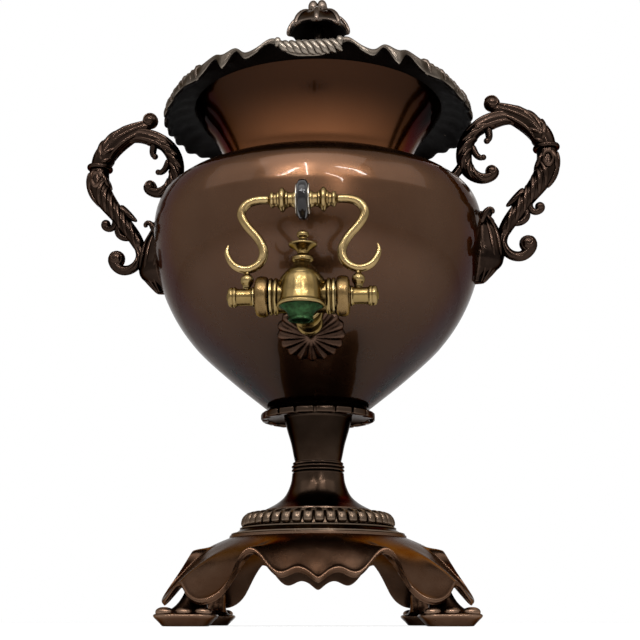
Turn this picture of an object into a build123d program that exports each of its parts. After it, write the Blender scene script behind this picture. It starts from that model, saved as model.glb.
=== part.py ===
from build123d import *
from math import cos, radians, sin, sqrt
import os

# A tea urn of spun copper on a cast, draped plinth, with a brass tap that is turned by a bail.
# Millimetres. The origin is on the urn's axis at the table; +Z is up, the tap points to -Y, and the
# handles point to +X and -X. Everything is stacked from the table upwards.

os.makedirs("parts", exist_ok=True)

# ---- Fits -----------------------------------------------------------------------------------
FIT = 0.05  # radial clearance of a pin or thread in its hole
RUN = 0.05  # radial clearance of the tap's plug in its barrel
APART = 0.3  # space between faces of pieces that move past each other

# ---- Base -----------------------------------------------------------------------------------
PLINTH_TOP = 56.5  # height of the round table on top of the plinth
PLINTH_TABLE_R = 57.5
PLINTH_TABLE_T = 4.0
PLINTH_CORE_R = 56.0  # where the draped skirt leaves the round table
PLINTH_STEP = 1.0  # the table stands this much above the skirt's root
PLINTH_WALL = 3.0
BASE_TURN = 3.3  # degrees by which the plinth and its feet stand turned against the tap
SHOULDER_SLOPE = 0.44  # fall of the skirt's shoulder per millimetre outwards
# The skirt's lower edge along half of one side, from the middle of the side to the corner:
# (along the side, out from the axis, height). It runs tip, small drape, arch, deep lobe, corner.
SKIRT_EDGE = [
    (0.0, 85.8, 27.3),
    (4.6, 84.0, 31.0),
    (11.9, 82.3, 34.0),
    (17.5, 83.6, 31.2),
    (22.8, 84.2, 30.1),
    (28.8, 82.0, 34.3),
    (33.6, 78.4, 41.3),
    (39.3, 76.6, 44.8),
    (45.0, 78.0, 42.0),
    (49.0, 83.0, 32.4),
    (51.5, 88.2, 23.0),
    (57.0, 91.6, 16.4),
    (63.5, 92.4, 14.7),
    (70.5, 90.0, 17.0),
    (76.6, 85.2, 22.8),
    (79.7, 79.7, 28.8),
]
FOOT_AT = 76.5  # foot centre from both middle planes
FOOT_PAD = 37.0
FOOT_SOLE = 27.0
FOOT_RIM = 6.0  # height of the pad's widest line
FOOT_PAD_T = 8.0
FOOT_NECK_W = 23.0
BOSS_AT = 71.0  # screw boss under each corner of the plinth
BOSS_R = 6.5
BOSS_TIP_R = 2.4
BOSS_FACE = 22.0
BOSS_TOP = 31.5
SCREW_R = 2.0
SCREW_HEAD_R = 4.0
SCREW_HEAD_T = 2.5
SCREW_DEPTH = 7.0

DOME_H = 15.3
DOME_R = 56.5
DOME_TOP_R = 36.0
BELT_R = 48.5  # the gadrooned belt of the dome
BELT_BOTTOM = 4.6
BELT_BULGE = 3.6
STEM_LOWER_H = 32.8
STEM_FOOT_R = 35.5
STEM_WAIST_R = 15.3
STEM_THROAT_R = 16.9
REED_R = 1.1
REED_PITCH = 2.5
REEDS = 3
STEM_UPPER_H = 30.4
STEM_TOP_R = 22.6
STEM_BORE_R = 9.0
COLLAR_H = 5.0
COLLAR_R = 37.8

ROD_R = 4.0
ROD_FLANGE_R = 12.0
ROD_FLANGE_T = 2.0
ROD_END = 12.5  # length of the rod below the plinth's table
WASHER_R = 14.0
WASHER_T = 1.5
NUT_W = 13.0  # across the flats
NUT_T = 6.5

# ---- Body -----------------------------------------------------------------------------------
BOWL_R = 112.3
BOWL_FLOOR_R = 34.0
BOWL_WIDEST = 120.0  # height of the widest circle above the bowl's floor
SHOULDER_RISE = 53.5  # height of the neck's foot above the widest circle
FLANK_R = 0.975 * BOWL_WIDEST  # curve of the flank below the widest circle
FLANK_SWEEP = 47.2  # degrees of it, before the flatter run to the floor
UPPER_R = 1.533 * SHOULDER_RISE  # curve above the widest circle
UPPER_SWEEP = 15.5
WALL = 1.2
NECK_R = 70.0
NECK_H = 38.5
NECK_TOP_R = 87.0
BEAD_R = 1.5
RIM_BASE_T = 3.0
RIM_LEDGE_R = 79.0  # inner edge of the rim, which the lid rests on
RIM_EDGE_R = 109.0
# The rim's edge at even steps over a quarter turn, from the tap to a handle: (radius short of the
# widest, height of its lower edge, height of its upper edge), both from the top of the neck.
RIM_WAVE = [
    (0.0, -7.2, 1.0),
    (0.2, -6.9, 1.2),
    (1.2, -5.0, 2.0),
    (3.2, 1.8, 6.6),
    (2.2, -1.8, 2.8),
    (2.6, -2.0, 2.4),
    (3.6, 0.6, 4.6),
    (3.8, -7.0, 2.6),
    (4.2, -3.2, 3.0),
    (2.2, -5.4, 2.0),
    (1.0, -6.9, 0.9),
    (0.4, -8.0, -0.2),
    (0.2, -8.5, -0.5),
    (0.2, -8.6, -0.5),
    (0.6, -8.2, -0.1),
    (1.4, -7.0, 0.8),
    (2.6, -5.2, 1.8),
    (4.6, -2.6, 2.6),
    (2.4, -4.6, 2.7),
    (0.8, -6.8, 3.1),
    (0.0, -7.6, 3.4),
]
RIM_LIP = 2.6

LID_R = 83.0
LID_FLANGE_T = 1.6
LID_RISE = 33.0
LID_WALL = 1.4
LID_CROWN_R = 10.0
FINIAL_STEM_R = 4.0
FINIAL_STEM_H = 22.0  # from the lid's crown to the underside of the cap
FINIAL_CAP_R = 23.0
FINIAL_CAP_H = 17.0
FINIAL_CAP_WALL = 2.0
BUD_R = 8.0
FINIAL_SCREW_R = 2.5
FINIAL_SCREW_L = 8.0
FINIAL_NUT_W = 9.0
FINIAL_NUT_T = 4.0

TUBE_R = 24.0
TUBE_H = 190.0
TUBE_WALL = 1.2
TUBE_LIP = 2.5
CAP_T = 1.6
CAP_KNOB_R = 5.0
SLUG_R = 19.5
SLUG_H = 138.0
SLUG_EYE_H = 13.0
SLUG_EYE_W = 14.0
SLUG_EYE_T = 5.0
EYE_HOLE_R = 3.4
RING_R = 8.5
RING_WIRE_R = 1.8

# ---- Handles --------------------------------------------------------------------------------
# Each scroll is given by its centre line and half thickness: (out from the bowl's widest circle,
# height above it, half thickness in the handle's plane).
HANDLE_TURN = -4.0  # degrees by which the two handles stand turned against the tap
ARCH = [
    (10.3, 90.1, 4.2),
    (15.9, 86.9, 5.4),
    (23.2, 84.1, 6.4),
    (30.7, 79.9, 7.2),
    (38.3, 73.5, 8.0),
    (43.3, 65.5, 8.3),
    (45.3, 58.5, 7.2),
    (46.1, 49.0, 8.2),
    (43.3, 39.1, 8.0),
    (36.9, 29.7, 6.8),
    (30.4, 21.7, 6.0),
    (24.3, 13.3, 6.0),
    (17.7, 4.9, 5.2),
    (13.3, -3.5, 4.2),
]
LOWER_CURL = [
    (15.7, 1.5, 3.4),
    (13.1, -6.1, 3.7),
    (14.3, -12.9, 3.6),
    (19.1, -17.7, 3.6),
    (25.5, -18.7, 3.8),
    (29.9, -14.5, 4.4),
]
INNER_CURL = [
    (18.7, 85.5, 3.6),
    (10.3, 81.9, 4.8),
    (0.9, 76.7, 5.4),
    (-6.7, 68.9, 5.8),
    (-10.5, 59.1, 5.9),
    (-10.5, 49.1, 5.6),
    (-6.1, 41.5, 4.8),
    (1.1, 37.7, 3.9),
    (7.3, 39.5, 3.4),
]
# The tab that reaches over to the shoulder; its heights are from the neck's foot.
TAB = [
    (-9.9, -1.0, 3.8),
    (-15.3, -6.1, 3.4),
    (-24.3, -2.9, 2.6),
]
UPPER_THORN = [
    (5.3, 78.0, 3.2),
    (6.9, 70.5, 2.8),
    (5.1, 65.1, 1.6),
]
LOWER_THORN = [
    (-5.5, 62.5, 3.0),
    (-2.5, 54.5, 2.4),
    (3.3, 53.3, 1.4),
]
LEAF_TIP = [
    (30.7, 28.0, 4.2),
    (23.1, 21.9, 3.2),
    (16.5, 16.9, 1.2),
]
SIDE_CURL = [
    (32.7, 23.5, 3.4),
    (31.9, 16.1, 2.9),
    (35.9, 12.1, 2.5),
    (40.1, 14.9, 2.6),
]
HANDLE_KNOB = (9.6, 92.7, 5.8)
LOWER_BALL = (30.7, -10.1, 6.3)
INNER_BALL = (9.1, 42.7, 4.2)
SIDE_BALL = (40.7, 16.1, 3.4)
SCROLL_SIDES = 8
SCROLL_DEPTH = 0.92  # thickness across the handle's plane, as a share of that in the plane
BAND = (45.4, 58.1)
BAND_R = 9.0
BAND_W = 2.6
PLATE_PEAK = 52.5  # height of the palmette plate
PLATE_DROP = 36.5  # tip of the plate below the bowl's widest circle
PLATE_W = 27.0
PLATE_OUT = 13.7  # how far the plate stands out from the bowl's widest circle
PLATE_SINK = 8.0  # depth of the plate's middle line inside that circle
RIVET_R = 2.0
RIVET_HEAD_R = 3.6
RIVET_BACK = 4.3  # face of the rivets' heads inside, behind the bowl's widest radius
RIVET_HEIGHTS = (-24.5, -6.5)  # above the bowl's widest circle
RIVET_REACH = 8.0  # how far the rivets go into the plate, from the bowl's widest radius
TAB_RIVET_IN = 20.3  # the tab's rivet inside the bowl's widest circle
TAB_RIVET_DROP = 4.0  # its end below the neck's foot

# ---- Tap ------------------------------------------------------------------------------------
TAP_DROP = 82.0  # barrel's axis below the bowl's widest circle
TAP_REACH = 71.24  # barrel's axis out from the bowl's flank
BARREL_R = 9.4
BARREL_HALF = 18.4
BARREL_BEAD_R = 10.4
BELL_H = 12.0  # top of the spout's bell above the barrel's axis
PLUG_R = 7.4
DISC_R = 11.4
DISC_T = 7.6
SPINDLE_R = 4.9
SPINDLE_OUT = 42.3  # outer end of each spindle from the middle plane
SPINDLE_BEAD_R = 5.7
SPINDLE_SHANK_R = 3.6
SPINDLE_SHANK_L = 13.0
PASSAGE_R = 3.8
TENT_H = 19.5  # top of the tent-shaped saddle above the barrel's axis
TENT_TOP_R = 5.0
BELL_FORWARD = 13.0  # spout axis in front of the barrel's axis
BELL_LIP_R = 13.2
BELL_LIP_DROP = 9.0
MOUTH_DROP = 17.2
MOUTH_R = 5.3
NOZZLE_R = 6.9
TAIL_R = 10.3
TAIL_END_R = 6.4
TAIL_SET_BACK = 11.5  # face of the tail behind the barrel's axis
TAIL_SINK = 2.76  # how far its fitted end reaches behind the flank's line
TAIL_SADDLE = 12.0  # how far the tail's end wraps round the bowl's flank
TAIL_SHANK_R = 5.4
TAIL_SHANK_IN = 28.76  # end of the threaded shank inside the flank
LOCKNUT_W = 18.0
LOCKNUT_T = 5.0
TAP_WASHER_R = 10.0
TAP_WASHER_IN = 18.76  # face of the washer inside the flank
ROSETTE_R = 21.5
ROSETTE_RISE = 4.6
ROSETTE_ANGLE = 46.8  # down the bowl's flank from the widest line
BALL_R = 3.7
BALL_AT = 31.0
BALL_RISE = 9.6  # ball above the barrel's axis
BALL_STEM_R = 1.5
BALL_STEM_L = 3.0
ARM_RISE = 15.9  # lowest point of each bail arm's centre line above the barrel's axis
BAR_RISE = 56.8
# Bail arm's centre line from the hook's tip to the grip: (out, height above the barrel, radius).
BAIL_ARM = [
    (41.8, 30.6, 0.7),
    (42.7, 25.4, 1.7),
    (38.6, 18.4, 2.1),
    (31.0, 15.9, 2.4),
    (24.0, 19.4, 2.5),
    (21.8, 26.6, 2.5),
    (25.2, 34.2, 2.5),
    (31.4, 41.4, 2.5),
    (35.0, 48.4, 2.6),
    (32.0, 54.4, 2.6),
    (25.6, 56.8, 2.6),
    (19.2, 56.8, 2.6),
]
GRIP_END = 19.2
GRIP_DISC_R = 11.8
GRIP_DISC_T = 6.2
GRIP_WASHER_T = 0.8
GRIP_CORE_R = 2.0
GRIP_BEAD_R = 7.0
TAP_FINIAL_R = 8.1
TAP_SPIGOT_L = 6.0

# ---- Heights that follow --------------------------------------------------------------------
DOME_TOP = PLINTH_TOP + DOME_H
STEM_WAIST = DOME_TOP + STEM_LOWER_H
STEM_TOP = STEM_WAIST + STEM_UPPER_H
BOWL_FLOOR = STEM_TOP + COLLAR_H
WIDEST = BOWL_FLOOR + BOWL_WIDEST
SHOULDER = WIDEST + SHOULDER_RISE
NECK_TOP = SHOULDER + NECK_H
RIM_SEAT = NECK_TOP + RIM_BASE_T
LID_CROWN = RIM_SEAT + LID_FLANGE_T + LID_RISE
CAP_UNDERSIDE = LID_CROWN + FINIAL_STEM_H
TAP_Z = WIDEST - TAP_DROP
FLANK_Y = FLANK_R - BOWL_R - sqrt(FLANK_R**2 - TAP_DROP**2)  # the flank in front, at the tap's height
BARREL_Y = FLANK_Y - TAP_REACH
SPOUT_Y = BARREL_Y - BELL_FORWARD
TENT_TOP = TAP_Z + TENT_H
BELL_LIP_Z = TAP_Z - BELL_LIP_DROP
MOUTH_Z = TAP_Z - MOUTH_DROP
TAIL_START = BARREL_Y + TAIL_SET_BACK
TAIL_END = FLANK_Y + TAIL_SINK
TAIL_SHANK_END = FLANK_Y + TAIL_SHANK_IN
TAP_WASHER_FACE = FLANK_Y + TAP_WASHER_IN
BALL_Z = TAP_Z + BALL_RISE
BAR_Z = TAP_Z + BAR_RISE
TAB_RIVET_AT = BOWL_R - TAB_RIVET_IN
TAB_RIVET_TOP = SHOULDER - TAB_RIVET_DROP


def keep(piece, name, turn=0.0):
    """Label a finished piece, turned about the urn's axis if it is fitted so, and write its file."""
    finished = piece.part.rotate(Axis.Z, turn)
    finished.label = name
    export_step(finished, f"parts/{name}.step")


def outward(start, end):
    """Upright plane from one point towards another, with local x outwards and local y up."""
    along = Vector(end[0] - start[0], end[1] - start[1], 0).normalized()
    return Plane(origin=(start[0], start[1], 0), x_dir=along, z_dir=along.cross(Vector(0, 0, 1)))


# ---- Plinth ---------------------------------------------------------------------------------
# One eighth of the draped skirt is lofted through upright sections, each from the round table
# to one station of the skirt's edge, then mirrored and repeated for the four sides.
with BuildPart() as skirt_eighth:
    root_z = PLINTH_TOP - PLINTH_STEP
    for station, (along, out, height) in enumerate(SKIRT_EDGE):
        turn = radians(45 * station / (len(SKIRT_EDGE) - 1))
        root = (PLINTH_CORE_R * sin(turn), -PLINTH_CORE_R * cos(turn))
        reach = (Vector(along, -out, 0) - Vector(root[0], root[1], 0)).length
        fall = (0.6 * reach, root_z - SHOULDER_SLOPE * 0.6 * reach)
        with BuildSketch(outward(root, (along, -out))):
            Polygon(
                (0, root_z),
                (0.3 * reach, root_z - SHOULDER_SLOPE * 0.28 * reach),
                fall,
                (0.85 * reach, fall[1] + 0.55 * (height - fall[1])),
                (reach, height),
                (reach + 0.8, height - 0.5 * PLINTH_WALL),
                (reach - 0.8, height - PLINTH_WALL),
                (0.85 * reach - 1.0, fall[1] + 0.55 * (height - fall[1]) - PLINTH_WALL),
                (fall[0] - 1.0, fall[1] - PLINTH_WALL),
                (0, root_z - PLINTH_WALL),
                align=None,
            )
    loft(ruled=True)

with BuildPart() as plinth:
    add(skirt_eighth.part)
    mirror(about=Plane.YZ)
    quarter = plinth.part
    with Locations(*[Location((0, 0, 0), (0, 0, 90 * side)) for side in (1, 2, 3)]):
        add(quarter)
    with BuildSketch(Plane.XY.offset(PLINTH_TOP - PLINTH_TABLE_T)):
        Circle(PLINTH_TABLE_R)
    extrude(amount=PLINTH_TABLE_T)
    for x_boss in (-BOSS_AT, BOSS_AT):
        with Locations((x_boss, -BOSS_AT, BOSS_FACE), (x_boss, BOSS_AT, BOSS_FACE)):
            Cone(BOSS_R, BOSS_TIP_R, BOSS_TOP - BOSS_FACE, align=(Align.CENTER, Align.CENTER, Align.MIN))
    with BuildSketch(Plane.XY.offset(PLINTH_TOP)):
        Circle(ROD_R + FIT)
    extrude(amount=-2 * PLINTH_TABLE_T, mode=Mode.SUBTRACT)
    with BuildSketch(Plane.XY.offset(BOSS_FACE)):
        with GridLocations(2 * BOSS_AT, 2 * BOSS_AT, 2, 2):
            Circle(SCREW_R + FIT)
    extrude(amount=SCREW_DEPTH + FIT, mode=Mode.SUBTRACT)
keep(plinth, "plinth", BASE_TURN)


# ---- Feet -----------------------------------------------------------------------------------
def foot(x_side, y_side):
    """Cast pad with a flared rim and a neck up to the plinth's boss."""
    at = (x_side * FOOT_AT, y_side * FOOT_AT)
    boss = (x_side * BOSS_AT, y_side * BOSS_AT)
    with BuildPart() as pad:
        with BuildSketch(Plane.XY):
            with Locations(at):
                RectangleRounded(FOOT_SOLE, FOOT_SOLE, 8)
        with BuildSketch(Plane.XY.offset(FOOT_RIM)):
            with Locations(at):
                RectangleRounded(FOOT_PAD, FOOT_PAD, 12)
        loft(ruled=True)
        with BuildSketch(Plane.XY.offset(FOOT_RIM)):
            with Locations(at):
                RectangleRounded(FOOT_PAD, FOOT_PAD, 12)
        extrude(amount=FOOT_PAD_T - FOOT_RIM, taper=30)
        with BuildSketch(Plane.XY.offset(FOOT_PAD_T)):
            with Locations(at):
                RectangleRounded(FOOT_NECK_W, FOOT_NECK_W, 8)
        with BuildSketch(Plane.XY.offset(0.5 * (FOOT_PAD_T + BOSS_FACE))):
            with Locations(boss):
                Circle(1.15 * BOSS_R)
        with BuildSketch(Plane.XY.offset(BOSS_FACE)):
            with Locations(boss):
                Circle(BOSS_R)
        loft(ruled=True)
        with BuildSketch(Plane.XY):
            with Locations(boss):
                Circle(SCREW_R + FIT)
        extrude(amount=BOSS_FACE, mode=Mode.SUBTRACT)
        with BuildSketch(Plane.XY):
            with Locations(boss):
                Circle(SCREW_HEAD_R + FIT)
        extrude(amount=2 * SCREW_HEAD_T, mode=Mode.SUBTRACT)
    return pad


for y_name, y_side in (("front", -1), ("back", 1)):
    for x_name, x_side in (("left", -1), ("right", 1)):
        keep(foot(x_side, y_side), f"foot_{y_name}_{x_name}", BASE_TURN)

with BuildPart() as foot_screws:
    with BuildSketch(Plane.XY.offset(SCREW_HEAD_T)):
        with GridLocations(2 * BOSS_AT, 2 * BOSS_AT, 2, 2):
            Circle(SCREW_HEAD_R)
    extrude(amount=SCREW_HEAD_T)
    with BuildSketch(Plane.XY.offset(2 * SCREW_HEAD_T)):
        with GridLocations(2 * BOSS_AT, 2 * BOSS_AT, 2, 2):
            Circle(SCREW_R)
    extrude(amount=BOSS_FACE + SCREW_DEPTH - 2 * SCREW_HEAD_T)
keep(foot_screws, "foot_screws", BASE_TURN)

# ---- Gadrooned dome -------------------------------------------------------------------------
belt_mid_r = 0.5 * (BELT_R + DOME_TOP_R) + BELT_BULGE
belt_mid_z = 0.5 * (PLINTH_TOP + BELT_BOTTOM + DOME_TOP)
with BuildPart() as gadroon_dome:
    with BuildSketch(Plane.XZ):
        with BuildLine():
            Polyline(
                (STEM_BORE_R, DOME_TOP),
                (STEM_BORE_R, PLINTH_TOP),
                (DOME_R, PLINTH_TOP),
                (DOME_R, PLINTH_TOP + 1.0),
            )
            Spline(
                (DOME_R, PLINTH_TOP + 1.0),
                (BELT_R + 3.6, PLINTH_TOP + 2.6),
                (BELT_R + 1.6, PLINTH_TOP + BELT_BOTTOM - 0.6),
            )
            Polyline(
                (BELT_R + 1.6, PLINTH_TOP + BELT_BOTTOM - 0.6),
                (BELT_R + 1.6, PLINTH_TOP + BELT_BOTTOM),
                (BELT_R, PLINTH_TOP + BELT_BOTTOM),
            )
            Spline(
                (BELT_R, PLINTH_TOP + BELT_BOTTOM),
                (belt_mid_r, belt_mid_z),
                (DOME_TOP_R + 0.6, DOME_TOP - 0.7),
            )
            Polyline((DOME_TOP_R + 0.6, DOME_TOP - 0.7), (DOME_TOP_R, DOME_TOP), (STEM_BORE_R, DOME_TOP))
        make_face()
    revolve(axis=Axis.Z)
keep(gadroon_dome, "gadroon_dome")

# ---- Stem -----------------------------------------------------------------------------------
with BuildPart() as stem_lower:
    reed_z = STEM_WAIST - REED_PITCH * REEDS
    with BuildSketch(Plane.XZ):
        with BuildLine():
            Polyline(
                (STEM_WAIST_R, reed_z),
                (STEM_WAIST_R, STEM_WAIST),
                (STEM_BORE_R, STEM_WAIST),
                (STEM_BORE_R, DOME_TOP),
                (STEM_FOOT_R, DOME_TOP),
                (STEM_FOOT_R, DOME_TOP + 0.8),
            )
            Spline(
                (STEM_FOOT_R, DOME_TOP + 0.8),
                (0.76 * STEM_FOOT_R, DOME_TOP + 0.17 * STEM_LOWER_H),
                (0.6 * STEM_FOOT_R, DOME_TOP + 0.33 * STEM_LOWER_H),
                (0.507 * STEM_FOOT_R, DOME_TOP + 0.56 * STEM_LOWER_H),
                (STEM_THROAT_R, reed_z),
            )
            Line((STEM_THROAT_R, reed_z), (STEM_WAIST_R, reed_z))
        make_face()
    revolve(axis=Axis.Z)
    with BuildSketch(Plane.XZ):
        with Locations(*[(STEM_WAIST_R, reed_z + REED_PITCH * (reed + 0.5)) for reed in range(REEDS)]):
            RegularPolygon(REED_R, 6)
    revolve(axis=Axis.Z)
keep(stem_lower, "stem_lower")

with BuildPart() as stem_upper:
    with BuildSketch(Plane.XZ):
        with BuildLine():
            Polyline(
                (STEM_TOP_R, STEM_TOP - 1.4),
                (STEM_TOP_R, STEM_TOP),
                (STEM_BORE_R, STEM_TOP),
                (STEM_BORE_R, STEM_WAIST),
                (STEM_WAIST_R, STEM_WAIST),
            )
            Spline(
                (STEM_WAIST_R, STEM_WAIST),
                (STEM_WAIST_R + 1.9, STEM_WAIST + 0.33 * STEM_UPPER_H),
                (STEM_TOP_R - 2.3, STEM_TOP - 0.36 * STEM_UPPER_H),
                (STEM_TOP_R, STEM_TOP - 1.4),
            )
        make_face()
    revolve(axis=Axis.Z)
keep(stem_upper, "stem_upper")

# ---- Collar ---------------------------------------------------------------------------------
with BuildPart() as collar:
    with BuildSketch(Plane.XZ):
        with BuildLine():
            Polyline(
                (BOWL_FLOOR_R - 1.5, BOWL_FLOOR),
                (ROD_R + FIT, BOWL_FLOOR),
                (ROD_R + FIT, STEM_TOP),
                (STEM_TOP_R + 1.6, STEM_TOP),
            )
            Spline(
                (STEM_TOP_R + 1.6, STEM_TOP),
                (COLLAR_R - 7.0, STEM_TOP - 0.6),
                (COLLAR_R - 1.4, STEM_TOP - 2.6),
            )
            ThreePointArc(
                (COLLAR_R - 1.4, STEM_TOP - 2.6),
                (COLLAR_R, STEM_TOP - 1.0),
                (COLLAR_R - 1.4, STEM_TOP + 1.2),
            )
            Spline(
                (COLLAR_R - 1.4, STEM_TOP + 1.2),
                (BOWL_FLOOR_R + 1.0, STEM_TOP + 3.2),
                (BOWL_FLOOR_R - 1.5, BOWL_FLOOR),
            )
        make_face()
    revolve(axis=Axis.Z)
    with BuildSketch(Plane.XY.offset(BOWL_FLOOR)):
        Circle(ROD_FLANGE_R + FIT)
    extrude(amount=-ROD_FLANGE_T, mode=Mode.SUBTRACT)
keep(collar, "collar")

# ---- Tie rod --------------------------------------------------------------------------------
ROD_BOTTOM = PLINTH_TOP - PLINTH_TABLE_T - ROD_END
with BuildPart() as tie_rod:
    with BuildSketch(Plane.XY.offset(ROD_BOTTOM)):
        Circle(ROD_R)
    extrude(amount=BOWL_FLOOR - ROD_FLANGE_T - ROD_BOTTOM)
    with BuildSketch(Plane.XY.offset(BOWL_FLOOR - ROD_FLANGE_T)):
        Circle(ROD_FLANGE_R)
    extrude(amount=ROD_FLANGE_T)
keep(tie_rod, "tie_rod")

WASHER_Z = PLINTH_TOP - PLINTH_TABLE_T - WASHER_T
with BuildPart() as tie_washer:
    with BuildSketch(Plane.XY.offset(WASHER_Z)):
        Circle(WASHER_R)
        Circle(ROD_R + FIT, mode=Mode.SUBTRACT)
    extrude(amount=WASHER_T)
keep(tie_washer, "tie_washer")

with BuildPart() as tie_nut:
    with BuildSketch(Plane.XY.offset(WASHER_Z - NUT_T)):
        RegularPolygon(0.5 * NUT_W, 6, major_radius=False)
        Circle(ROD_R + FIT, mode=Mode.SUBTRACT)
    extrude(amount=NUT_T)
keep(tie_nut, "tie_nut")

# ---- Bowl -----------------------------------------------------------------------------------
def bowl_form(inset):
    """The bowl's round form; with the wall as inset it is the space inside."""
    floor = (BOWL_FLOOR_R - 0.4 * inset, BOWL_FLOOR + inset)
    mouth = (NECK_R, SHOULDER - inset)
    with BuildPart() as form:
        with BuildSketch(outward((0, 0), (1, 1))):
            with BuildLine():
                flank = CenterArc((BOWL_R - FLANK_R, WIDEST), FLANK_R - inset, -FLANK_SWEEP, FLANK_SWEEP)
                TangentArc(flank @ 0, floor, tangent=(flank % 0) * -1)
                turn_in = CenterArc((BOWL_R - UPPER_R, WIDEST), UPPER_R - inset, 0, UPPER_SWEEP)
                TangentArc(turn_in @ 1, mouth, tangent=turn_in % 1)
                Polyline(mouth, (0, mouth[1]), (0, floor[1]), floor)
            make_face()
        revolve(axis=Axis.Z)
    return form.part


with BuildPart() as bowl:
    add(bowl_form(0))
    add(bowl_form(WALL), mode=Mode.SUBTRACT)
    with BuildSketch(Plane.XY.offset(SHOULDER)):
        Circle(NECK_R - WALL)
    extrude(amount=-2 * WALL, mode=Mode.SUBTRACT)
    with BuildSketch(Plane.XZ.offset(-TAIL_SHANK_END)):
        with Locations((0, TAP_Z)):
            Circle(TAIL_SHANK_R + FIT)
    extrude(amount=TAIL_SHANK_END - TAIL_END + TAIL_SADDLE, mode=Mode.SUBTRACT)
    for side in (0, 180):
        handle_frame = Location((0, 0, 0), (0, 0, HANDLE_TURN + side))
        for height in RIVET_HEIGHTS:
            with Locations(handle_frame * Location((BOWL_R, 0, WIDEST + height), (0, 90, 0))):
                Cylinder(RIVET_R + FIT, 6 * RIVET_R, mode=Mode.SUBTRACT)
        with Locations(handle_frame * Location((TAB_RIVET_AT, 0, SHOULDER))):
            Cylinder(RIVET_R + FIT, 0.3 * BOWL_R, mode=Mode.SUBTRACT)
keep(bowl, "bowl")

# ---- Neck -----------------------------------------------------------------------------------
with BuildPart() as neck:
    with BuildSketch(Plane.XZ):
        with BuildLine():
            Spline(
                (NECK_R, SHOULDER),
                (NECK_R + 0.2 * (NECK_TOP_R - NECK_R), SHOULDER + 0.155 * NECK_H),
                (NECK_R + 0.56 * (NECK_TOP_R - NECK_R), SHOULDER + 0.59 * NECK_H),
                (NECK_TOP_R, NECK_TOP),
            )
            Polyline((NECK_TOP_R, NECK_TOP), (0, NECK_TOP), (0, SHOULDER), (NECK_R, SHOULDER))
        make_face()
    revolve(axis=Axis.Z)
    offset(amount=-WALL, openings=neck.faces().filter_by(Axis.Z))
    with BuildSketch(Plane.XZ):
        with BuildLine():
            Polyline(
                (NECK_R - WALL, SHOULDER),
                (NECK_R + 1.6 * BEAD_R, SHOULDER),
                (NECK_R + 2.0 * BEAD_R, SHOULDER + 0.6 * BEAD_R),
                (NECK_R + 2.0 * BEAD_R, SHOULDER + 1.4 * BEAD_R),
                (NECK_R + 1.4 * BEAD_R, SHOULDER + 2.0 * BEAD_R),
                (NECK_R - WALL, SHOULDER + 2.0 * BEAD_R),
                (NECK_R - WALL, SHOULDER),
            )
        make_face()
    revolve(axis=Axis.Z)
keep(neck, "neck")

# ---- Rim border -----------------------------------------------------------------------------
# A quarter of the cast border is lofted through upright sections, each ending in its drooping
# lip, then mirrored twice. The wave repeats on both sides of the tap and of each handle.
RING_W = NECK_TOP_R + 1.5 - RIM_LEDGE_R
with BuildPart() as rim_quarter:
    for station, (short, low, high) in enumerate(RIM_WAVE):
        turn = radians(90 * station / (len(RIM_WAVE) - 1))
        ray = (sin(turn), -cos(turn))
        reach = RIM_EDGE_R - short - RIM_LEDGE_R
        lip = reach - RIM_LIP
        middle = 0.5 * (RING_W + lip)
        with BuildSketch(outward((RIM_LEDGE_R * ray[0], RIM_LEDGE_R * ray[1]), (RIM_EDGE_R * ray[0], RIM_EDGE_R * ray[1]))):
            Polygon(
                (0, RIM_SEAT),
                (0, NECK_TOP),
                (RING_W, NECK_TOP),
                (middle, NECK_TOP + 0.45 * high),
                (lip, NECK_TOP + 0.55 * high + 0.45 * low),
                (lip + 0.25 * RIM_LIP, NECK_TOP + low),
                (reach, NECK_TOP + 0.75 * low + 0.25 * high),
                (reach, NECK_TOP + 0.35 * low + 0.65 * high),
                (lip + 0.35 * RIM_LIP, NECK_TOP + high),
                (middle, RIM_SEAT + 0.5 * high),
                (RING_W, RIM_SEAT),
                align=None,
            )
    loft(ruled=True)

with BuildPart() as rim_border:
    add(rim_quarter.part)
    mirror(about=Plane.YZ)
    mirror(about=Plane.XZ)
keep(rim_border, "rim_border")

# ---- Lid ------------------------------------------------------------------------------------
with BuildPart() as lid:
    with BuildSketch(Plane.XZ):
        with BuildLine():
            Line((0, LID_CROWN - LID_WALL), (LID_CROWN_R, LID_CROWN - LID_WALL))
            Spline(
                (LID_CROWN_R, LID_CROWN - LID_WALL),
                (0.33 * LID_R, RIM_SEAT + 0.83 * LID_RISE),
                (0.66 * LID_R, RIM_SEAT + 0.5 * LID_RISE),
                (RIM_LEDGE_R - 3.0, RIM_SEAT),
            )
            Polyline(
                (RIM_LEDGE_R - 3.0, RIM_SEAT),
                (RIM_LEDGE_R - 3.0, NECK_TOP),
                (RIM_LEDGE_R - 1.5, NECK_TOP),
                (RIM_LEDGE_R - 1.5, RIM_SEAT),
                (LID_R, RIM_SEAT),
                (LID_R, RIM_SEAT + LID_FLANGE_T),
                (RIM_LEDGE_R - 2.0, RIM_SEAT + LID_FLANGE_T),
            )
            Spline(
                (RIM_LEDGE_R - 2.0, RIM_SEAT + LID_FLANGE_T),
                (0.67 * LID_R, RIM_SEAT + 0.53 * LID_RISE + LID_WALL),
                (0.34 * LID_R, RIM_SEAT + 0.85 * LID_RISE + LID_WALL),
                (LID_CROWN_R, LID_CROWN),
            )
            Polyline((LID_CROWN_R, LID_CROWN), (0, LID_CROWN), (0, LID_CROWN - LID_WALL))
        make_face()
    revolve(axis=Axis.Z)
    with Locations((0, 0, LID_CROWN)):
        Cylinder(FINIAL_SCREW_R + FIT, 4 * LID_WALL, mode=Mode.SUBTRACT)
keep(lid, "lid")

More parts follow.
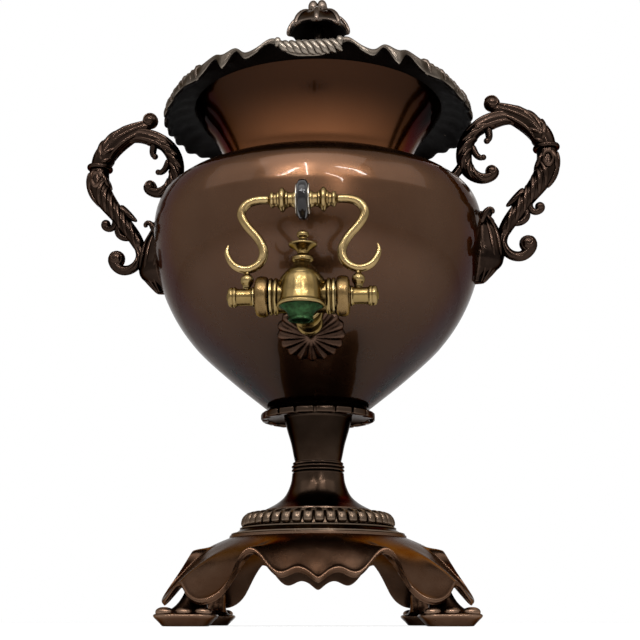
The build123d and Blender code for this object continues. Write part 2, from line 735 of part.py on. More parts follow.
with BuildPart() as lid_finial:
    cap_top = CAP_UNDERSIDE + FINIAL_CAP_H
    inner_r = FINIAL_CAP_R - FINIAL_CAP_WALL
    with BuildSketch(Plane.XZ):
        with BuildLine():
            Polyline(
                (0, LID_CROWN - LID_WALL - FINIAL_SCREW_L),
                (FINIAL_SCREW_R, LID_CROWN - LID_WALL - FINIAL_SCREW_L),
                (FINIAL_SCREW_R, LID_CROWN),
                (LID_CROWN_R - 1.0, LID_CROWN),
            )
            Polyline(
                (LID_CROWN_R - 1.0, LID_CROWN),
                (FINIAL_STEM_R + 1.4, LID_CROWN + 0.12 * FINIAL_STEM_H),
                (FINIAL_STEM_R, LID_CROWN + 0.35 * FINIAL_STEM_H),
                (FINIAL_STEM_R, cap_top - 3.2 * FINIAL_CAP_WALL),
                (0.72 * inner_r, CAP_UNDERSIDE + 0.5 * FINIAL_CAP_H),
                (inner_r, CAP_UNDERSIDE),
                (FINIAL_CAP_R, CAP_UNDERSIDE),
                (FINIAL_CAP_R, CAP_UNDERSIDE + 1.4),
                (0.9 * FINIAL_CAP_R, CAP_UNDERSIDE + 0.55 * FINIAL_CAP_H),
                (0.66 * FINIAL_CAP_R, cap_top - 0.17 * FINIAL_CAP_H),
                (0.8 * BUD_R, cap_top + 0.4),
            )
            Spline(
                (0.8 * BUD_R, cap_top + 0.4),
                (BUD_R, cap_top + 0.7 * BUD_R),
                (0.55 * BUD_R, cap_top + 1.32 * BUD_R),
                (0, cap_top + 1.4 * BUD_R),
            )
            Line((0, cap_top + 1.4 * BUD_R), (0, LID_CROWN - LID_WALL - FINIAL_SCREW_L))
        make_face()
    revolve(axis=Axis.Z)
keep(lid_finial, "lid_finial")

with BuildPart() as finial_nut:
    with BuildSketch(Plane.XY.offset(LID_CROWN - LID_WALL - FINIAL_NUT_T)):
        RegularPolygon(0.5 * FINIAL_NUT_W, 6, major_radius=False)
        Circle(FINIAL_SCREW_R + FIT, mode=Mode.SUBTRACT)
    extrude(amount=FINIAL_NUT_T)
keep(finial_nut, "finial_nut")

# ---- Heater ---------------------------------------------------------------------------------
TUBE_FLOOR = BOWL_FLOOR + WALL
TUBE_TOP = TUBE_FLOOR + TUBE_H
with BuildPart() as heater_tube:
    with BuildSketch(Plane.XY.offset(TUBE_FLOOR)):
        Circle(TUBE_R)
    extrude(amount=TUBE_H)
    with BuildSketch(Plane.XY.offset(TUBE_FLOOR + TUBE_WALL)):
        Circle(TUBE_R - TUBE_WALL)
    extrude(amount=TUBE_H, mode=Mode.SUBTRACT)
    with BuildSketch(Plane.XY.offset(TUBE_TOP - TUBE_LIP)):
        Circle(TUBE_R + TUBE_LIP)
        Circle(TUBE_R - TUBE_WALL, mode=Mode.SUBTRACT)
    extrude(amount=TUBE_LIP)
keep(heater_tube, "heater_tube")

with BuildPart() as heater_cap:
    with BuildSketch(Plane.XZ):
        with BuildLine():
            Polyline(
                (0, TUBE_TOP),
                (TUBE_R - 2 * TUBE_WALL - APART, TUBE_TOP),
                (TUBE_R - 2 * TUBE_WALL - APART, TUBE_TOP - 3 * CAP_T),
                (TUBE_R - TUBE_WALL - APART, TUBE_TOP - 3 * CAP_T),
                (TUBE_R - TUBE_WALL - APART, TUBE_TOP),
                (TUBE_R + TUBE_LIP, TUBE_TOP),
                (TUBE_R + TUBE_LIP, TUBE_TOP + CAP_T),
                (3.0, TUBE_TOP + CAP_T),
                (2.0, TUBE_TOP + CAP_T + 3.0),
                (CAP_KNOB_R, TUBE_TOP + CAP_T + 5.0),
                (CAP_KNOB_R, TUBE_TOP + CAP_T + 7.0),
                (0, TUBE_TOP + CAP_T + 8.5),
                (0, TUBE_TOP),
            )
        make_face()
    revolve(axis=Axis.Z)
keep(heater_cap, "heater_cap")

SLUG_FLOOR = TUBE_FLOOR + TUBE_WALL
EYE_Z = SLUG_FLOOR + SLUG_H + SLUG_EYE_H - 1.6 * EYE_HOLE_R
with BuildPart() as iron_slug:
    with BuildSketch(Plane.XY.offset(SLUG_FLOOR)):
        Circle(SLUG_R)
    extrude(amount=SLUG_H)
    chamfer(iron_slug.edges().filter_by(GeomType.CIRCLE), length=2.0)
    with BuildSketch(Plane.XZ.offset(-0.5 * SLUG_EYE_T)):
        with Locations((0, SLUG_FLOOR + SLUG_H)):
            SlotCenterToCenter(2 * (SLUG_EYE_H - 0.5 * SLUG_EYE_W), SLUG_EYE_W, rotation=90)
        with Locations((0, EYE_Z)):
            Circle(EYE_HOLE_R, mode=Mode.SUBTRACT)
    extrude(amount=SLUG_EYE_T)
keep(iron_slug, "iron_slug")

RING_Z = EYE_Z + RING_R - EYE_HOLE_R + RING_WIRE_R
with BuildPart() as slug_ring:
    with BuildSketch(Plane.XZ):
        with Locations((0, RING_Z + RING_R)):
            RegularPolygon(RING_WIRE_R, 8)
    revolve(axis=Axis((0, 0, RING_Z), (1, 0, 0)))
keep(slug_ring, "slug_ring")


# ---- Handles --------------------------------------------------------------------------------
def scroll(stations, level):
    """Tapering cast scroll with eight soft ridges, lofted along its centre line above a level."""
    with BuildPart() as piece:
        with BuildLine():
            centre = Spline(*[(BOWL_R + out, 0, level + z) for out, z, _ in stations])
        for out, z, half in stations:
            here = (BOWL_R + out, 0, level + z)
            along = centre % centre.param_at_point(here)
            with BuildSketch(Plane(origin=here, x_dir=(0, 1, 0), z_dir=along)):
                Polygon(
                    *[
                        (
                            SCROLL_DEPTH * half * cos(radians(360 * (corner + 0.5) / SCROLL_SIDES)),
                            half * sin(radians(360 * (corner + 0.5) / SCROLL_SIDES)),
                        )
                        for corner in range(SCROLL_SIDES)
                    ],
                    align=None,
                )
        loft(ruled=True)
    return piece


with BuildPart() as plate_block:  # the palmette's rounded form, before it is fitted to the bowl
    for height, out, half in (
        (0.0, 0.02, 0.2),
        (0.15, 0.53, 0.62),
        (0.36, 1.0, 1.0),
        (0.5, 0.93, 0.93),
        (0.66, 0.85, 0.8),
        (0.83, 0.5, 0.58),
        (0.95, 0.31, 0.36),
    ):
        with BuildSketch(Plane.XY.offset(WIDEST - PLATE_DROP + height * PLATE_PEAK)):
            with Locations((BOWL_R - PLATE_SINK, 0)):
                Ellipse(PLATE_SINK + out * PLATE_OUT, 0.5 * PLATE_W * half)
    loft()
    with Locations((BOWL_R + 0.31 * PLATE_OUT, 0, WIDEST - PLATE_DROP + 0.94 * PLATE_PEAK)):
        Sphere(0.12 * PLATE_W)

with BuildPart() as handle_plate_right:
    add(plate_block.part)
    add(bowl_form(0), mode=Mode.SUBTRACT)
    for height in RIVET_HEIGHTS:
        with Locations(Location((BOWL_R, 0, WIDEST + height), (0, 90, 0))):
            Cylinder(RIVET_R + FIT, 2 * RIVET_REACH, mode=Mode.SUBTRACT)

with BuildPart() as handle_right:
    for stations in (ARCH, LOWER_CURL, INNER_CURL, UPPER_THORN, LOWER_THORN, LEAF_TIP, SIDE_CURL):
        add(scroll(stations, WIDEST).part)
    add(scroll(TAB, SHOULDER).part)
    for out, z, ball in (HANDLE_KNOB, LOWER_BALL, INNER_BALL, SIDE_BALL):
        with Locations((BOWL_R + out, 0, WIDEST + z)):
            Sphere(ball)
    with Locations(Location((BOWL_R + BAND[0], 0, WIDEST + BAND[1]), (0, -4, 0))):
        Cylinder(BAND_R, BAND_W)
    add(bowl_form(0), mode=Mode.SUBTRACT)
    add(plate_block.part, mode=Mode.SUBTRACT)
    with Locations((TAB_RIVET_AT, 0, TAB_RIVET_TOP)):
        Cylinder(RIVET_R + FIT, 4.5 * RIVET_R, align=(Align.CENTER, Align.CENTER, Align.MAX), mode=Mode.SUBTRACT)

with BuildPart() as handle_rivets_right:
    for height in RIVET_HEIGHTS:
        with Locations(Location((BOWL_R, 0, WIDEST + height), (0, 90, 0))):
            Cylinder(RIVET_HEAD_R, 2 * RIVET_BACK)
    with Locations((TAB_RIVET_AT, 0, TAB_RIVET_TOP)):
        Cylinder(RIVET_HEAD_R, 5 * RIVET_R, align=(Align.CENTER, Align.CENTER, Align.MAX))
    add(bowl_form(WALL), mode=Mode.INTERSECT)
    for height in RIVET_HEIGHTS:
        with Locations(Location((BOWL_R + RIVET_REACH, 0, WIDEST + height), (0, 90, 0))):
            Cylinder(RIVET_R, RIVET_REACH + RIVET_BACK, align=(Align.CENTER, Align.CENTER, Align.MAX))
    with Locations((TAB_RIVET_AT, 0, TAB_RIVET_TOP)):
        Cylinder(RIVET_R, 4 * RIVET_R, align=(Align.CENTER, Align.CENTER, Align.MAX))

for piece, name in ((handle_right, "handle"), (handle_plate_right, "handle_plate"), (handle_rivets_right, "handle_rivets")):
    keep(piece, f"{name}_right", HANDLE_TURN)
    keep(piece, f"{name}_left", HANDLE_TURN + 180)

# ---- Tap tail -------------------------------------------------------------------------------
# The tail carries the tap: it is turned from brass, hollow, and threaded through the bowl's wall
# into a nut inside.
TAIL_AXIS = Axis((0, 0, TAP_Z), (0, 1, 0))
with BuildPart() as tap_tail:
    with BuildSketch(Plane.YZ):
        with BuildLine():
            Polyline(
                (TAIL_END, TAP_Z),
                (TAIL_START, TAP_Z),
                (TAIL_START, TAP_Z + TAIL_R),
                (TAIL_START + 2.4, TAP_Z + TAIL_R),
                (TAIL_START + 2.4, TAP_Z + TAIL_R - 1.0),
                (TAIL_START + 0.86 * (TAIL_END - TAIL_START), TAP_Z + TAIL_END_R),
                (TAIL_END, TAP_Z + TAIL_END_R),
                (TAIL_END, TAP_Z),
            )
        make_face()
    revolve(axis=TAIL_AXIS)
    add(bowl_form(0), mode=Mode.SUBTRACT)
    with BuildSketch(Plane.XZ.offset(-TAIL_SHANK_END)):
        with Locations((0, TAP_Z)):
            Circle(TAIL_SHANK_R)
    extrude(amount=TAIL_SHANK_END - TAIL_END + TAIL_SADDLE)
    with BuildSketch(Plane.XZ.offset(-TAIL_SHANK_END)):
        with Locations((0, TAP_Z)):
            Circle(PASSAGE_R)
    extrude(amount=TAIL_SHANK_END - TAIL_START, mode=Mode.SUBTRACT)
keep(tap_tail, "tap_tail")

with BuildPart() as tap_washer:
    with BuildSketch(Plane.XZ.offset(-TAP_WASHER_FACE)):
        with Locations((0, TAP_Z)):
            Circle(TAP_WASHER_R)
    extrude(amount=0.3 * BOWL_R)
    add(bowl_form(WALL), mode=Mode.INTERSECT)
    with BuildSketch(Plane.XZ.offset(-TAP_WASHER_FACE)):
        with Locations((0, TAP_Z)):
            Circle(TAIL_SHANK_R + FIT)
    extrude(amount=0.3 * BOWL_R, mode=Mode.SUBTRACT)
keep(tap_washer, "tap_washer")

with BuildPart() as tap_locknut:
    with BuildSketch(Plane.XZ.offset(-TAP_WASHER_FACE)):
        with Locations((0, TAP_Z)):
            RegularPolygon(0.5 * LOCKNUT_W, 6, major_radius=False)
            Circle(TAIL_SHANK_R + FIT, mode=Mode.SUBTRACT)
    extrude(amount=-LOCKNUT_T)
keep(tap_locknut, "tap_locknut")

# ---- Rosette --------------------------------------------------------------------------------
rosette_turn = radians(ROSETTE_ANGLE)
rosette_at = (0, FLANK_R - BOWL_R - FLANK_R * cos(rosette_turn), WIDEST - FLANK_R * sin(rosette_turn))
rosette_out = (0, -cos(rosette_turn), -sin(rosette_turn))
with BuildPart() as tap_rosette:
    with BuildSketch(Plane(origin=rosette_at, x_dir=(1, 0, 0), z_dir=(0, sin(rosette_turn), -cos(rosette_turn)))):
        with BuildLine():
            Polyline(
                (0, ROSETTE_RISE),
                (0, -ROSETTE_RISE),
                (ROSETTE_R, -ROSETTE_RISE),
                (ROSETTE_R, -0.6),
            )
            Polyline(
                (ROSETTE_R, -0.6),
                (0.93 * ROSETTE_R, 0.45 * ROSETTE_RISE),
                (0.7 * ROSETTE_R, 0.84 * ROSETTE_RISE),
                (0.4 * ROSETTE_R, ROSETTE_RISE),
                (0, ROSETTE_RISE),
            )
        make_face()
    revolve(axis=Axis(rosette_at, rosette_out))
    add(bowl_form(0), mode=Mode.SUBTRACT)
    with BuildSketch(Plane.XZ.offset(-TAIL_SHANK_END)):
        with Locations((0, TAP_Z)):
            Circle(TAIL_END_R + FIT)
    extrude(amount=BOWL_R, mode=Mode.SUBTRACT)
    with BuildSketch(Plane.XZ.offset(-TAIL_END + 0.7 * TAIL_SADDLE)):
        with Locations((0, TAP_Z)):
            Circle(1.25 * TAIL_END_R)
    extrude(amount=0.5 * BOWL_R, mode=Mode.SUBTRACT)
keep(tap_rosette, "tap_rosette")

# ---- Tap body -------------------------------------------------------------------------------
with BuildPart() as tap_body:
    with BuildSketch(Plane.YZ.offset(-BARREL_HALF)):
        with Locations((BARREL_Y, TAP_Z)):
            Circle(BARREL_R)
    extrude(amount=2 * BARREL_HALF)
    for bead in (-BARREL_HALF, -BARREL_HALF + 3.0, BARREL_HALF - 4.8, BARREL_HALF - 1.8):
        with BuildSketch(Plane.YZ.offset(bead)):
            with Locations((BARREL_Y, TAP_Z)):
                Circle(BARREL_BEAD_R)
        extrude(amount=1.8)
    for lift, wide, deep in ((5.0, 15.5, 8.4), (9.0, 11.0, 7.6), (13.0, 7.8, 6.4), (TENT_H, TENT_TOP_R, 5.0)):
        with BuildSketch(Plane.XY.offset(TAP_Z + lift)):
            with Locations((0, BARREL_Y)):
                Ellipse(wide, deep)
    loft()
    with BuildSketch(Plane.XZ.offset(-BARREL_Y)):
        with Locations((0, TAP_Z)):
            Circle(TAIL_R + 0.2)
    extrude(amount=BARREL_Y - TAIL_START)
    with BuildSketch(Plane.YZ):
        with BuildLine():
            Polyline((SPOUT_Y, BELL_LIP_Z), (SPOUT_Y - BELL_LIP_R, BELL_LIP_Z), (SPOUT_Y - BELL_LIP_R, BELL_LIP_Z + 1.2))
            Spline(
                (SPOUT_Y - BELL_LIP_R, BELL_LIP_Z + 1.2),
                (SPOUT_Y - 0.84 * BELL_LIP_R, TAP_Z),
                (SPOUT_Y - 0.7 * BELL_LIP_R, TAP_Z + 0.58 * BELL_H),
                (SPOUT_Y - 0.4 * BELL_LIP_R, TAP_Z + BELL_H),
            )
            Polyline((SPOUT_Y - 0.4 * BELL_LIP_R, TAP_Z + BELL_H), (SPOUT_Y, TAP_Z + BELL_H), (SPOUT_Y, BELL_LIP_Z))
        make_face()
    revolve(axis=Axis((0, SPOUT_Y, 0), (0, 0, 1)))
    with BuildSketch(Plane.YZ.offset(-BARREL_HALF)):
        with Locations((BARREL_Y, TAP_Z)):
            Circle(PLUG_R + RUN)
    extrude(amount=2 * BARREL_HALF, mode=Mode.SUBTRACT)
    with BuildSketch(Plane.XZ.offset(-TAIL_START)):
        with Locations((0, TAP_Z)):
            Circle(PASSAGE_R)
    extrude(amount=TAIL_START - SPOUT_Y, mode=Mode.SUBTRACT)
    with BuildSketch(Plane.XY.offset(BELL_LIP_Z)):
        with Locations((0, SPOUT_Y)):
            Circle(MOUTH_R)
    extrude(amount=TAP_Z + 1.3 * PASSAGE_R - BELL_LIP_Z, mode=Mode.SUBTRACT)
    with BuildSketch(Plane.XY.offset(TENT_TOP)):
        with Locations((0, BARREL_Y)):
            Circle(FINIAL_SCREW_R + FIT)
    extrude(amount=-TAP_SPIGOT_L, mode=Mode.SUBTRACT)
keep(tap_body, "tap_body")

with BuildPart() as tap_nozzle:
    with BuildSketch(Plane.YZ):
        with BuildLine():
            Polyline(
                (SPOUT_Y - NOZZLE_R, BELL_LIP_Z - 6.6),
                (SPOUT_Y - NOZZLE_R, MOUTH_Z),
                (SPOUT_Y - MOUTH_R, MOUTH_Z),
                (SPOUT_Y - MOUTH_R, BELL_LIP_Z),
                (SPOUT_Y - BELL_LIP_R + 0.4, BELL_LIP_Z),
            )
            ThreePointArc(
                (SPOUT_Y - BELL_LIP_R + 0.4, BELL_LIP_Z),
                (SPOUT_Y - 9.2, BELL_LIP_Z - 3.9),
                (SPOUT_Y - NOZZLE_R, BELL_LIP_Z - 6.6),
            )
        make_face()
    revolve(axis=Axis((0, SPOUT_Y, 0), (0, 0, 1)))
    with BuildSketch(Plane.YZ.offset(-BARREL_HALF)):
        with Locations((BARREL_Y, TAP_Z)):
            Circle(BARREL_R)
    extrude(amount=2 * BARREL_HALF, mode=Mode.SUBTRACT)
keep(tap_nozzle, "tap_nozzle")

with BuildPart() as tap_finial:
    with BuildSketch(Plane.YZ):
        with BuildLine():
            Polyline(
                *[
                    (BARREL_Y - share * TAP_FINIAL_R, TENT_TOP + rise)
                    for share, rise in (
                        (0.0, -TAP_SPIGOT_L),
                        (FINIAL_SCREW_R / TAP_FINIAL_R, -TAP_SPIGOT_L),
                        (FINIAL_SCREW_R / TAP_FINIAL_R, 0.0),
                        (0.62, 0.0),
                        (0.7, 1.1),
                        (0.7, 2.6),
                        (0.6, 3.6),
                        (0.38, 4.4),
                        (0.38, 6.4),
                        (0.66, 8.4),
                        (0.9, 9.6),
                        (1.0, 10.4),
                        (1.0, 11.2),
                        (0.6, 12.2),
                        (0.32, 13.2),
                        (0.27, 14.6),
                        (0.35, 15.8),
                        (0.35, 17.4),
                        (0.2, 18.6),
                        (0.0, 19.0),
                        (0.0, -TAP_SPIGOT_L),
                    )
                ]
            )
        make_face()
    revolve(axis=Axis((0, BARREL_Y, 0), (0, 0, 1)))
keep(tap_finial, "tap_finial")

# ---- Plug -----------------------------------------------------------------------------------
# The plug turns in the barrel with the two discs, the spindles and the whole bail. Its cross
# hole stands upright while the tap is shut.
PLUG_END = BARREL_HALF + APART
DISC_OUT = PLUG_END + DISC_T
SHANK_IN = DISC_OUT - SPINDLE_SHANK_L
with BuildPart() as tap_plug:
    with BuildSketch(Plane.YZ.offset(-PLUG_END)):
        with Locations((BARREL_Y, TAP_Z)):
            Circle(PLUG_R)
    extrude(amount=2 * PLUG_END)
    for end, way in ((-PLUG_END, 1), (PLUG_END, -1)):
        with BuildSketch(Plane.YZ.offset(end)):
            with Locations((BARREL_Y, TAP_Z)):
                Circle(SPINDLE_SHANK_R + FIT)
        extrude(amount=way * (PLUG_END - SHANK_IN), mode=Mode.SUBTRACT)
    with BuildSketch(Plane.XY.offset(TAP_Z - PLUG_R)):
        with Locations((0, BARREL_Y)):
            Circle(PASSAGE_R)
    extrude(amount=2 * PLUG_R, mode=Mode.SUBTRACT)
keep(tap_plug, "tap_plug")

with BuildPart() as plug_disc_right:
    with BuildSketch(Plane.YZ.offset(PLUG_END)):
        with Locations((BARREL_Y, TAP_Z)):
            Circle(DISC_R)
    extrude(amount=DISC_T)
    chamfer(plug_disc_right.edges().filter_by(GeomType.CIRCLE), length=0.2 * DISC_T)
    with BuildSketch(Plane.YZ.offset(PLUG_END)):
        with Locations((BARREL_Y, TAP_Z)):
            Circle(SPINDLE_SHANK_R + FIT)
    extrude(amount=DISC_T, mode=Mode.SUBTRACT)
keep(plug_disc_right, "plug_disc_right")

TAP_AXIS = Axis((0, BARREL_Y, TAP_Z), (1, 0, 0))
with BuildPart() as spindle_right:
    with BuildSketch(Plane.XY.offset(TAP_Z)):
        with BuildLine():
            Polyline(
                *[
                    (x, BARREL_Y - r)
                    for x, r in (
                        (SHANK_IN, 0.0),
                        (SHANK_IN, SPINDLE_SHANK_R),
                        (DISC_OUT, SPINDLE_SHANK_R),
                        (DISC_OUT, SPINDLE_BEAD_R),
                        (DISC_OUT + 1.6, SPINDLE_BEAD_R),
                        (DISC_OUT + 1.6, SPINDLE_R),
                        (SPINDLE_OUT - 5.0, SPINDLE_R),
                        (SPINDLE_OUT - 5.0, SPINDLE_BEAD_R),
                        (SPINDLE_OUT - 2.6, SPINDLE_BEAD_R),
                        (SPINDLE_OUT - 1.0, 0.72 * SPINDLE_BEAD_R),
                        (SPINDLE_OUT, 0.3 * SPINDLE_BEAD_R),
                        (SPINDLE_OUT, 0.0),
                        (SHANK_IN, 0.0),
                    )
                ]
            )
        make_face()
    revolve(axis=TAP_AXIS)
    with BuildSketch(Plane.XY.offset(TAP_Z + SPINDLE_R)):
        with Locations((BALL_AT, BARREL_Y)):
            Circle(BALL_STEM_R + FIT)
    extrude(amount=-BALL_STEM_L, mode=Mode.SUBTRACT)
keep(spindle_right, "spindle_right")

# ---- Bail -----------------------------------------------------------------------------------
STEM_FOOT_Z = TAP_Z + SPINDLE_R - BALL_STEM_L
PEG_TOP = TAP_Z + ARM_RISE + 0.6
with BuildPart() as bail_ball_right:
    with Locations((BALL_AT, BARREL_Y, BALL_Z)):
        Sphere(BALL_R)
    with Locations((BALL_AT, BARREL_Y, STEM_FOOT_Z)):
        Cylinder(BALL_STEM_R, PEG_TOP - STEM_FOOT_Z, align=(Align.CENTER, Align.CENTER, Align.MIN))
keep(bail_ball_right, "bail_ball_right")

with BuildPart() as bail_arm_right:
    with BuildLine():
        arm_line = Spline(*[(x, BARREL_Y, TAP_Z + z) for x, z, _ in BAIL_ARM])
    for x, z, half in BAIL_ARM:
        here = (x, BARREL_Y, TAP_Z + z)
        along = arm_line % arm_line.param_at_point(here)
        with BuildSketch(Plane(origin=here, x_dir=(0, 1, 0), z_dir=along)):
            RegularPolygon(half, SCROLL_SIDES, rotation=180 / SCROLL_SIDES)
    loft()
    with BuildSketch(Plane.YZ.offset(GRIP_END)):
        with Locations((BARREL_Y, BAR_Z)):
            Circle(2 * BAIL_ARM[-1][2])
    extrude(amount=-GRIP_END, mode=Mode.SUBTRACT)
    with BuildSketch(Plane.XY.offset(PEG_TOP + FIT)):
        with Locations((BALL_AT, BARREL_Y)):
            Circle(BALL_STEM_R + FIT)
    extrude(amount=-2 * BALL_R, mode=Mode.SUBTRACT)
    with Locations((BALL_AT, BARREL_Y, BALL_Z)):
        Sphere(BALL_R + FIT, mode=Mode.SUBTRACT)
keep(bail_arm_right, "bail_arm_right")

BAR_AXIS = Axis((0, BARREL_Y, BAR_Z), (1, 0, 0))
GRIP_START = 0.5 * GRIP_DISC_T + GRIP_WASHER_T
with BuildPart() as grip_right:
    with BuildSketch(Plane.XZ.offset(-BARREL_Y)):
        with BuildLine():
            Polyline(
                *[
                    (x, BAR_Z + r)
                    for x, r in (
                        (0.0, 0.0),
                        (0.0, GRIP_CORE_R),
                        (GRIP_START, GRIP_CORE_R),
                        (GRIP_START, 5.0),
                        (GRIP_START + 1.1, 5.0),
                        (GRIP_START + 2.1, 4.2),
                        (GRIP_START + 4.8, 4.4),
                        (GRIP_START + 6.0, GRIP_BEAD_R - 0.7),
                        (GRIP_START + 7.0, GRIP_BEAD_R),
                        (GRIP_START + 8.4, GRIP_BEAD_R),
                        (GRIP_START + 9.4, GRIP_BEAD_R - 0.7),
                        (GRIP_START + 10.4, 4.2),
                        (GRIP_START + 12.2, 3.8),
                        (GRIP_START + 13.0, 4.6),
                        (GRIP_START + 14.4, 4.6),
                        (GRIP_END, 3.0),
                        (GRIP_END, 0.0),
                        (0.0, 0.0),
                    )
                ]
            )
        make_face()
    revolve(axis=BAR_AXIS)
keep(grip_right, "grip_right")

for piece, name in (
    (plug_disc_right, "plug_disc_left"),
    (spindle_right, "spindle_left"),
    (bail_ball_right, "bail_ball_left"),
    (bail_arm_right, "bail_arm_left"),
    (grip_right, "grip_left"),
):
    with BuildPart() as twin:
        mirror(piece.part, about=Plane.YZ)
    keep(twin, name)

with BuildPart() as grip_disc:
    with BuildSketch(Plane.YZ.offset(-0.5 * GRIP_DISC_T)):
        with Locations((BARREL_Y, BAR_Z)):
            Circle(GRIP_DISC_R)
    extrude(amount=GRIP_DISC_T)
    chamfer(grip_disc.edges().filter_by(GeomType.CIRCLE), length=0.25 * GRIP_DISC_T)
    with BuildSketch(Plane.YZ.offset(-0.5 * GRIP_DISC_T)):
        with Locations((BARREL_Y, BAR_Z)):
            Circle(GRIP_CORE_R + FIT)
    extrude(amount=GRIP_DISC_T, mode=Mode.SUBTRACT)
keep(grip_disc, "grip_disc")

with BuildPart() as grip_washers:
    for inner_face in (-GRIP_START, 0.5 * GRIP_DISC_T):
        with BuildSketch(Plane.YZ.offset(inner_face)):
            with Locations((BARREL_Y, BAR_Z)):
                Circle(0.8 * GRIP_DISC_R)
                Circle(GRIP_CORE_R + FIT, mode=Mode.SUBTRACT)
        extrude(amount=GRIP_WASHER_T)
keep(grip_washers, "grip_washers")
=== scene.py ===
import math

import bpy
from mathutils import Matrix, Vector


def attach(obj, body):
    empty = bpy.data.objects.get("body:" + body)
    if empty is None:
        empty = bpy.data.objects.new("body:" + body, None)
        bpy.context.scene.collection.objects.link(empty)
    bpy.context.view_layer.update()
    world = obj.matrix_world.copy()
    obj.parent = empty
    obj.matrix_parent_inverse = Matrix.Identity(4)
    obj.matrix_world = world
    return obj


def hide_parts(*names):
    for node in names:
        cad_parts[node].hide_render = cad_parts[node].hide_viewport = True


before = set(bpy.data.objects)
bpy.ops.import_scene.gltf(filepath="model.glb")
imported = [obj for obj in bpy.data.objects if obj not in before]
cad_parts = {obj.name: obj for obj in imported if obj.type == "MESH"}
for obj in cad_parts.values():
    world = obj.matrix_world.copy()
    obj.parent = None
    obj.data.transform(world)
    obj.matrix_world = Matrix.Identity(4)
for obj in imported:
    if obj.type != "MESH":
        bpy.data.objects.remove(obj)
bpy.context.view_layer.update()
bpy.ops.object.select_all(action="DESELECT")


# ---- Draped plinth ----
# The plinth is one bronze casting: a round table with a skirt that falls from it in folds to four
# corners. Its lip is rolled over, and the brown bronzing is pale along every raised edge, partly
# rubbed wear and partly a painted highlight.
def patina(name, deep, worn, rough, grain, edge=0.0, metal=1.0, coat=0.0, pits=0.0, painted_shade=None):
    """Bronzed metal: soft clouds of two tones, dark in the hollows, and paler on raised edges,
    partly rubbed wear and partly a painted highlight.

    The last argument is (dark height, plain height, share): painted shade darkens the colour by
    that share towards the first height."""
    made = bpy.data.materials.new(name)
    made.use_nodes = True
    nodes, links = made.node_tree.nodes, made.node_tree.links

    def noise(scale, detail):
        """A soft cloud pattern fixed to the piece."""
        cloud = nodes.new("ShaderNodeTexNoise")
        cloud.inputs["Scale"].default_value = scale
        cloud.inputs["Detail"].default_value = detail
        links.new(place.outputs["Object"], cloud.inputs["Vector"])
        return cloud

    def mapped(value, start, end, first, last, kind="LINEAR"):
        """The value where start to end becomes first to last."""
        span = nodes.new("ShaderNodeMapRange")
        span.interpolation_type = kind
        ends = {"From Min": start, "From Max": end, "To Min": first, "To Max": last}
        for socket, number in ends.items():
            span.inputs[socket].default_value = number
        links.new(value, span.inputs["Value"])
        return span.outputs["Result"]

    def mixed(share, under, over):
        """One colour laid over another by that share."""
        mix = nodes.new("ShaderNodeMix")
        mix.data_type = "RGBA"
        links.new(share, mix.inputs["Factor"])
        links.new(under, mix.inputs[6])
        mix.inputs[7].default_value = (*over, 1)
        return mix.outputs[2]

    shader = nodes["Principled BSDF"]
    shader.inputs["Metallic"].default_value = metal
    shader.inputs["Coat Weight"].default_value = coat
    shader.inputs["Coat Roughness"].default_value = 0.05
    shader.inputs["Specular Tint"].default_value = (*[0.33 + 0.4 * w for w in worn], 1)
    place = nodes.new("ShaderNodeTexCoord")
    cloud, fine = noise(grain, 5.0), noise(9.0 * grain, 6.0)
    cloud.inputs["Roughness"].default_value = 0.6
    tone = nodes.new("ShaderNodeValToRGB")
    dark, pale = tone.color_ramp.elements
    dark.position, dark.color = 0.34, (*deep, 1)
    pale.position, pale.color = 0.72, (*[0.75 * d + 0.25 * w for d, w in zip(deep, worn)], 1)
    links.new(cloud.outputs["Fac"], tone.inputs["Fac"])
    colour = tone.outputs["Color"]
    # Painted shade: the colour is darkened towards a given height.
    if painted_shade:
        up = nodes.new("ShaderNodeSeparateXYZ")
        links.new(place.outputs["Object"], up.inputs[0])
        share = mapped(up.outputs["Z"], *painted_shade, 0.0, "SMOOTHSTEP")
        colour = mixed(share, colour, [0.12 * d for d in deep])
    # Raised edges are painted paler, partly rubbed wear and partly a painted highlight; hollows are
    # darker with patina.
    if edge:
        form = nodes.new("ShaderNodeNewGeometry").outputs["Pointiness"]
        colour = mixed(mapped(form, 0.51, 0.60, 0.0, edge), colour, worn)
        colour = mixed(mapped(form, 0.40, 0.49, 1.0, 0.0), colour, [0.22 * d for d in deep])
    links.new(colour, shader.inputs["Base Color"])
    gloss = mapped(fine.outputs["Fac"], 0.0, 1.0, 0.8 * rough, 1.25 * rough)
    links.new(gloss, shader.inputs["Roughness"])
    if pits:
        dent = nodes.new("ShaderNodeBump")
        dent.inputs["Strength"].default_value = pits
        dent.inputs["Distance"].default_value = 0.0005
        links.new(fine.outputs["Fac"], dent.inputs["Height"])
        links.new(dent.outputs["Normal"], shader.inputs["Normal"])
    return made


def finish_piece(piece, material, body, *replaced):
    """Give a finished piece its material, its body and the CAD nodes it stands for."""
    piece.data.materials.clear()
    piece.data.materials.append(material)
    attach(piece, body)
    if replaced:
        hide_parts(*replaced)


def settle():
    """The place, turn and size of the piece in hand become part of its mesh."""
    bpy.ops.object.transform_apply(location=True, rotation=True, scale=True)


def open_mesh():
    """The whole mesh of the piece in hand is taken up to be worked on."""
    bpy.ops.object.mode_set(mode="EDIT")
    bpy.ops.mesh.select_all(action="SELECT")


def close_mesh():
    """Faces are turned outwards and the mesh is put down."""
    bpy.ops.mesh.select_all(action="SELECT")
    bpy.ops.mesh.normals_make_consistent(inside=False)
    bpy.ops.object.mode_set(mode="OBJECT")


def softened(piece, times):
    """A cast piece, rounded off by dividing its faces so many times."""
    smooth = piece.modifiers.new("smooth", "SUBSURF")
    smooth.levels = smooth.render_levels = times
    bpy.ops.object.modifier_apply(modifier="smooth")
    bpy.ops.object.shade_smooth()


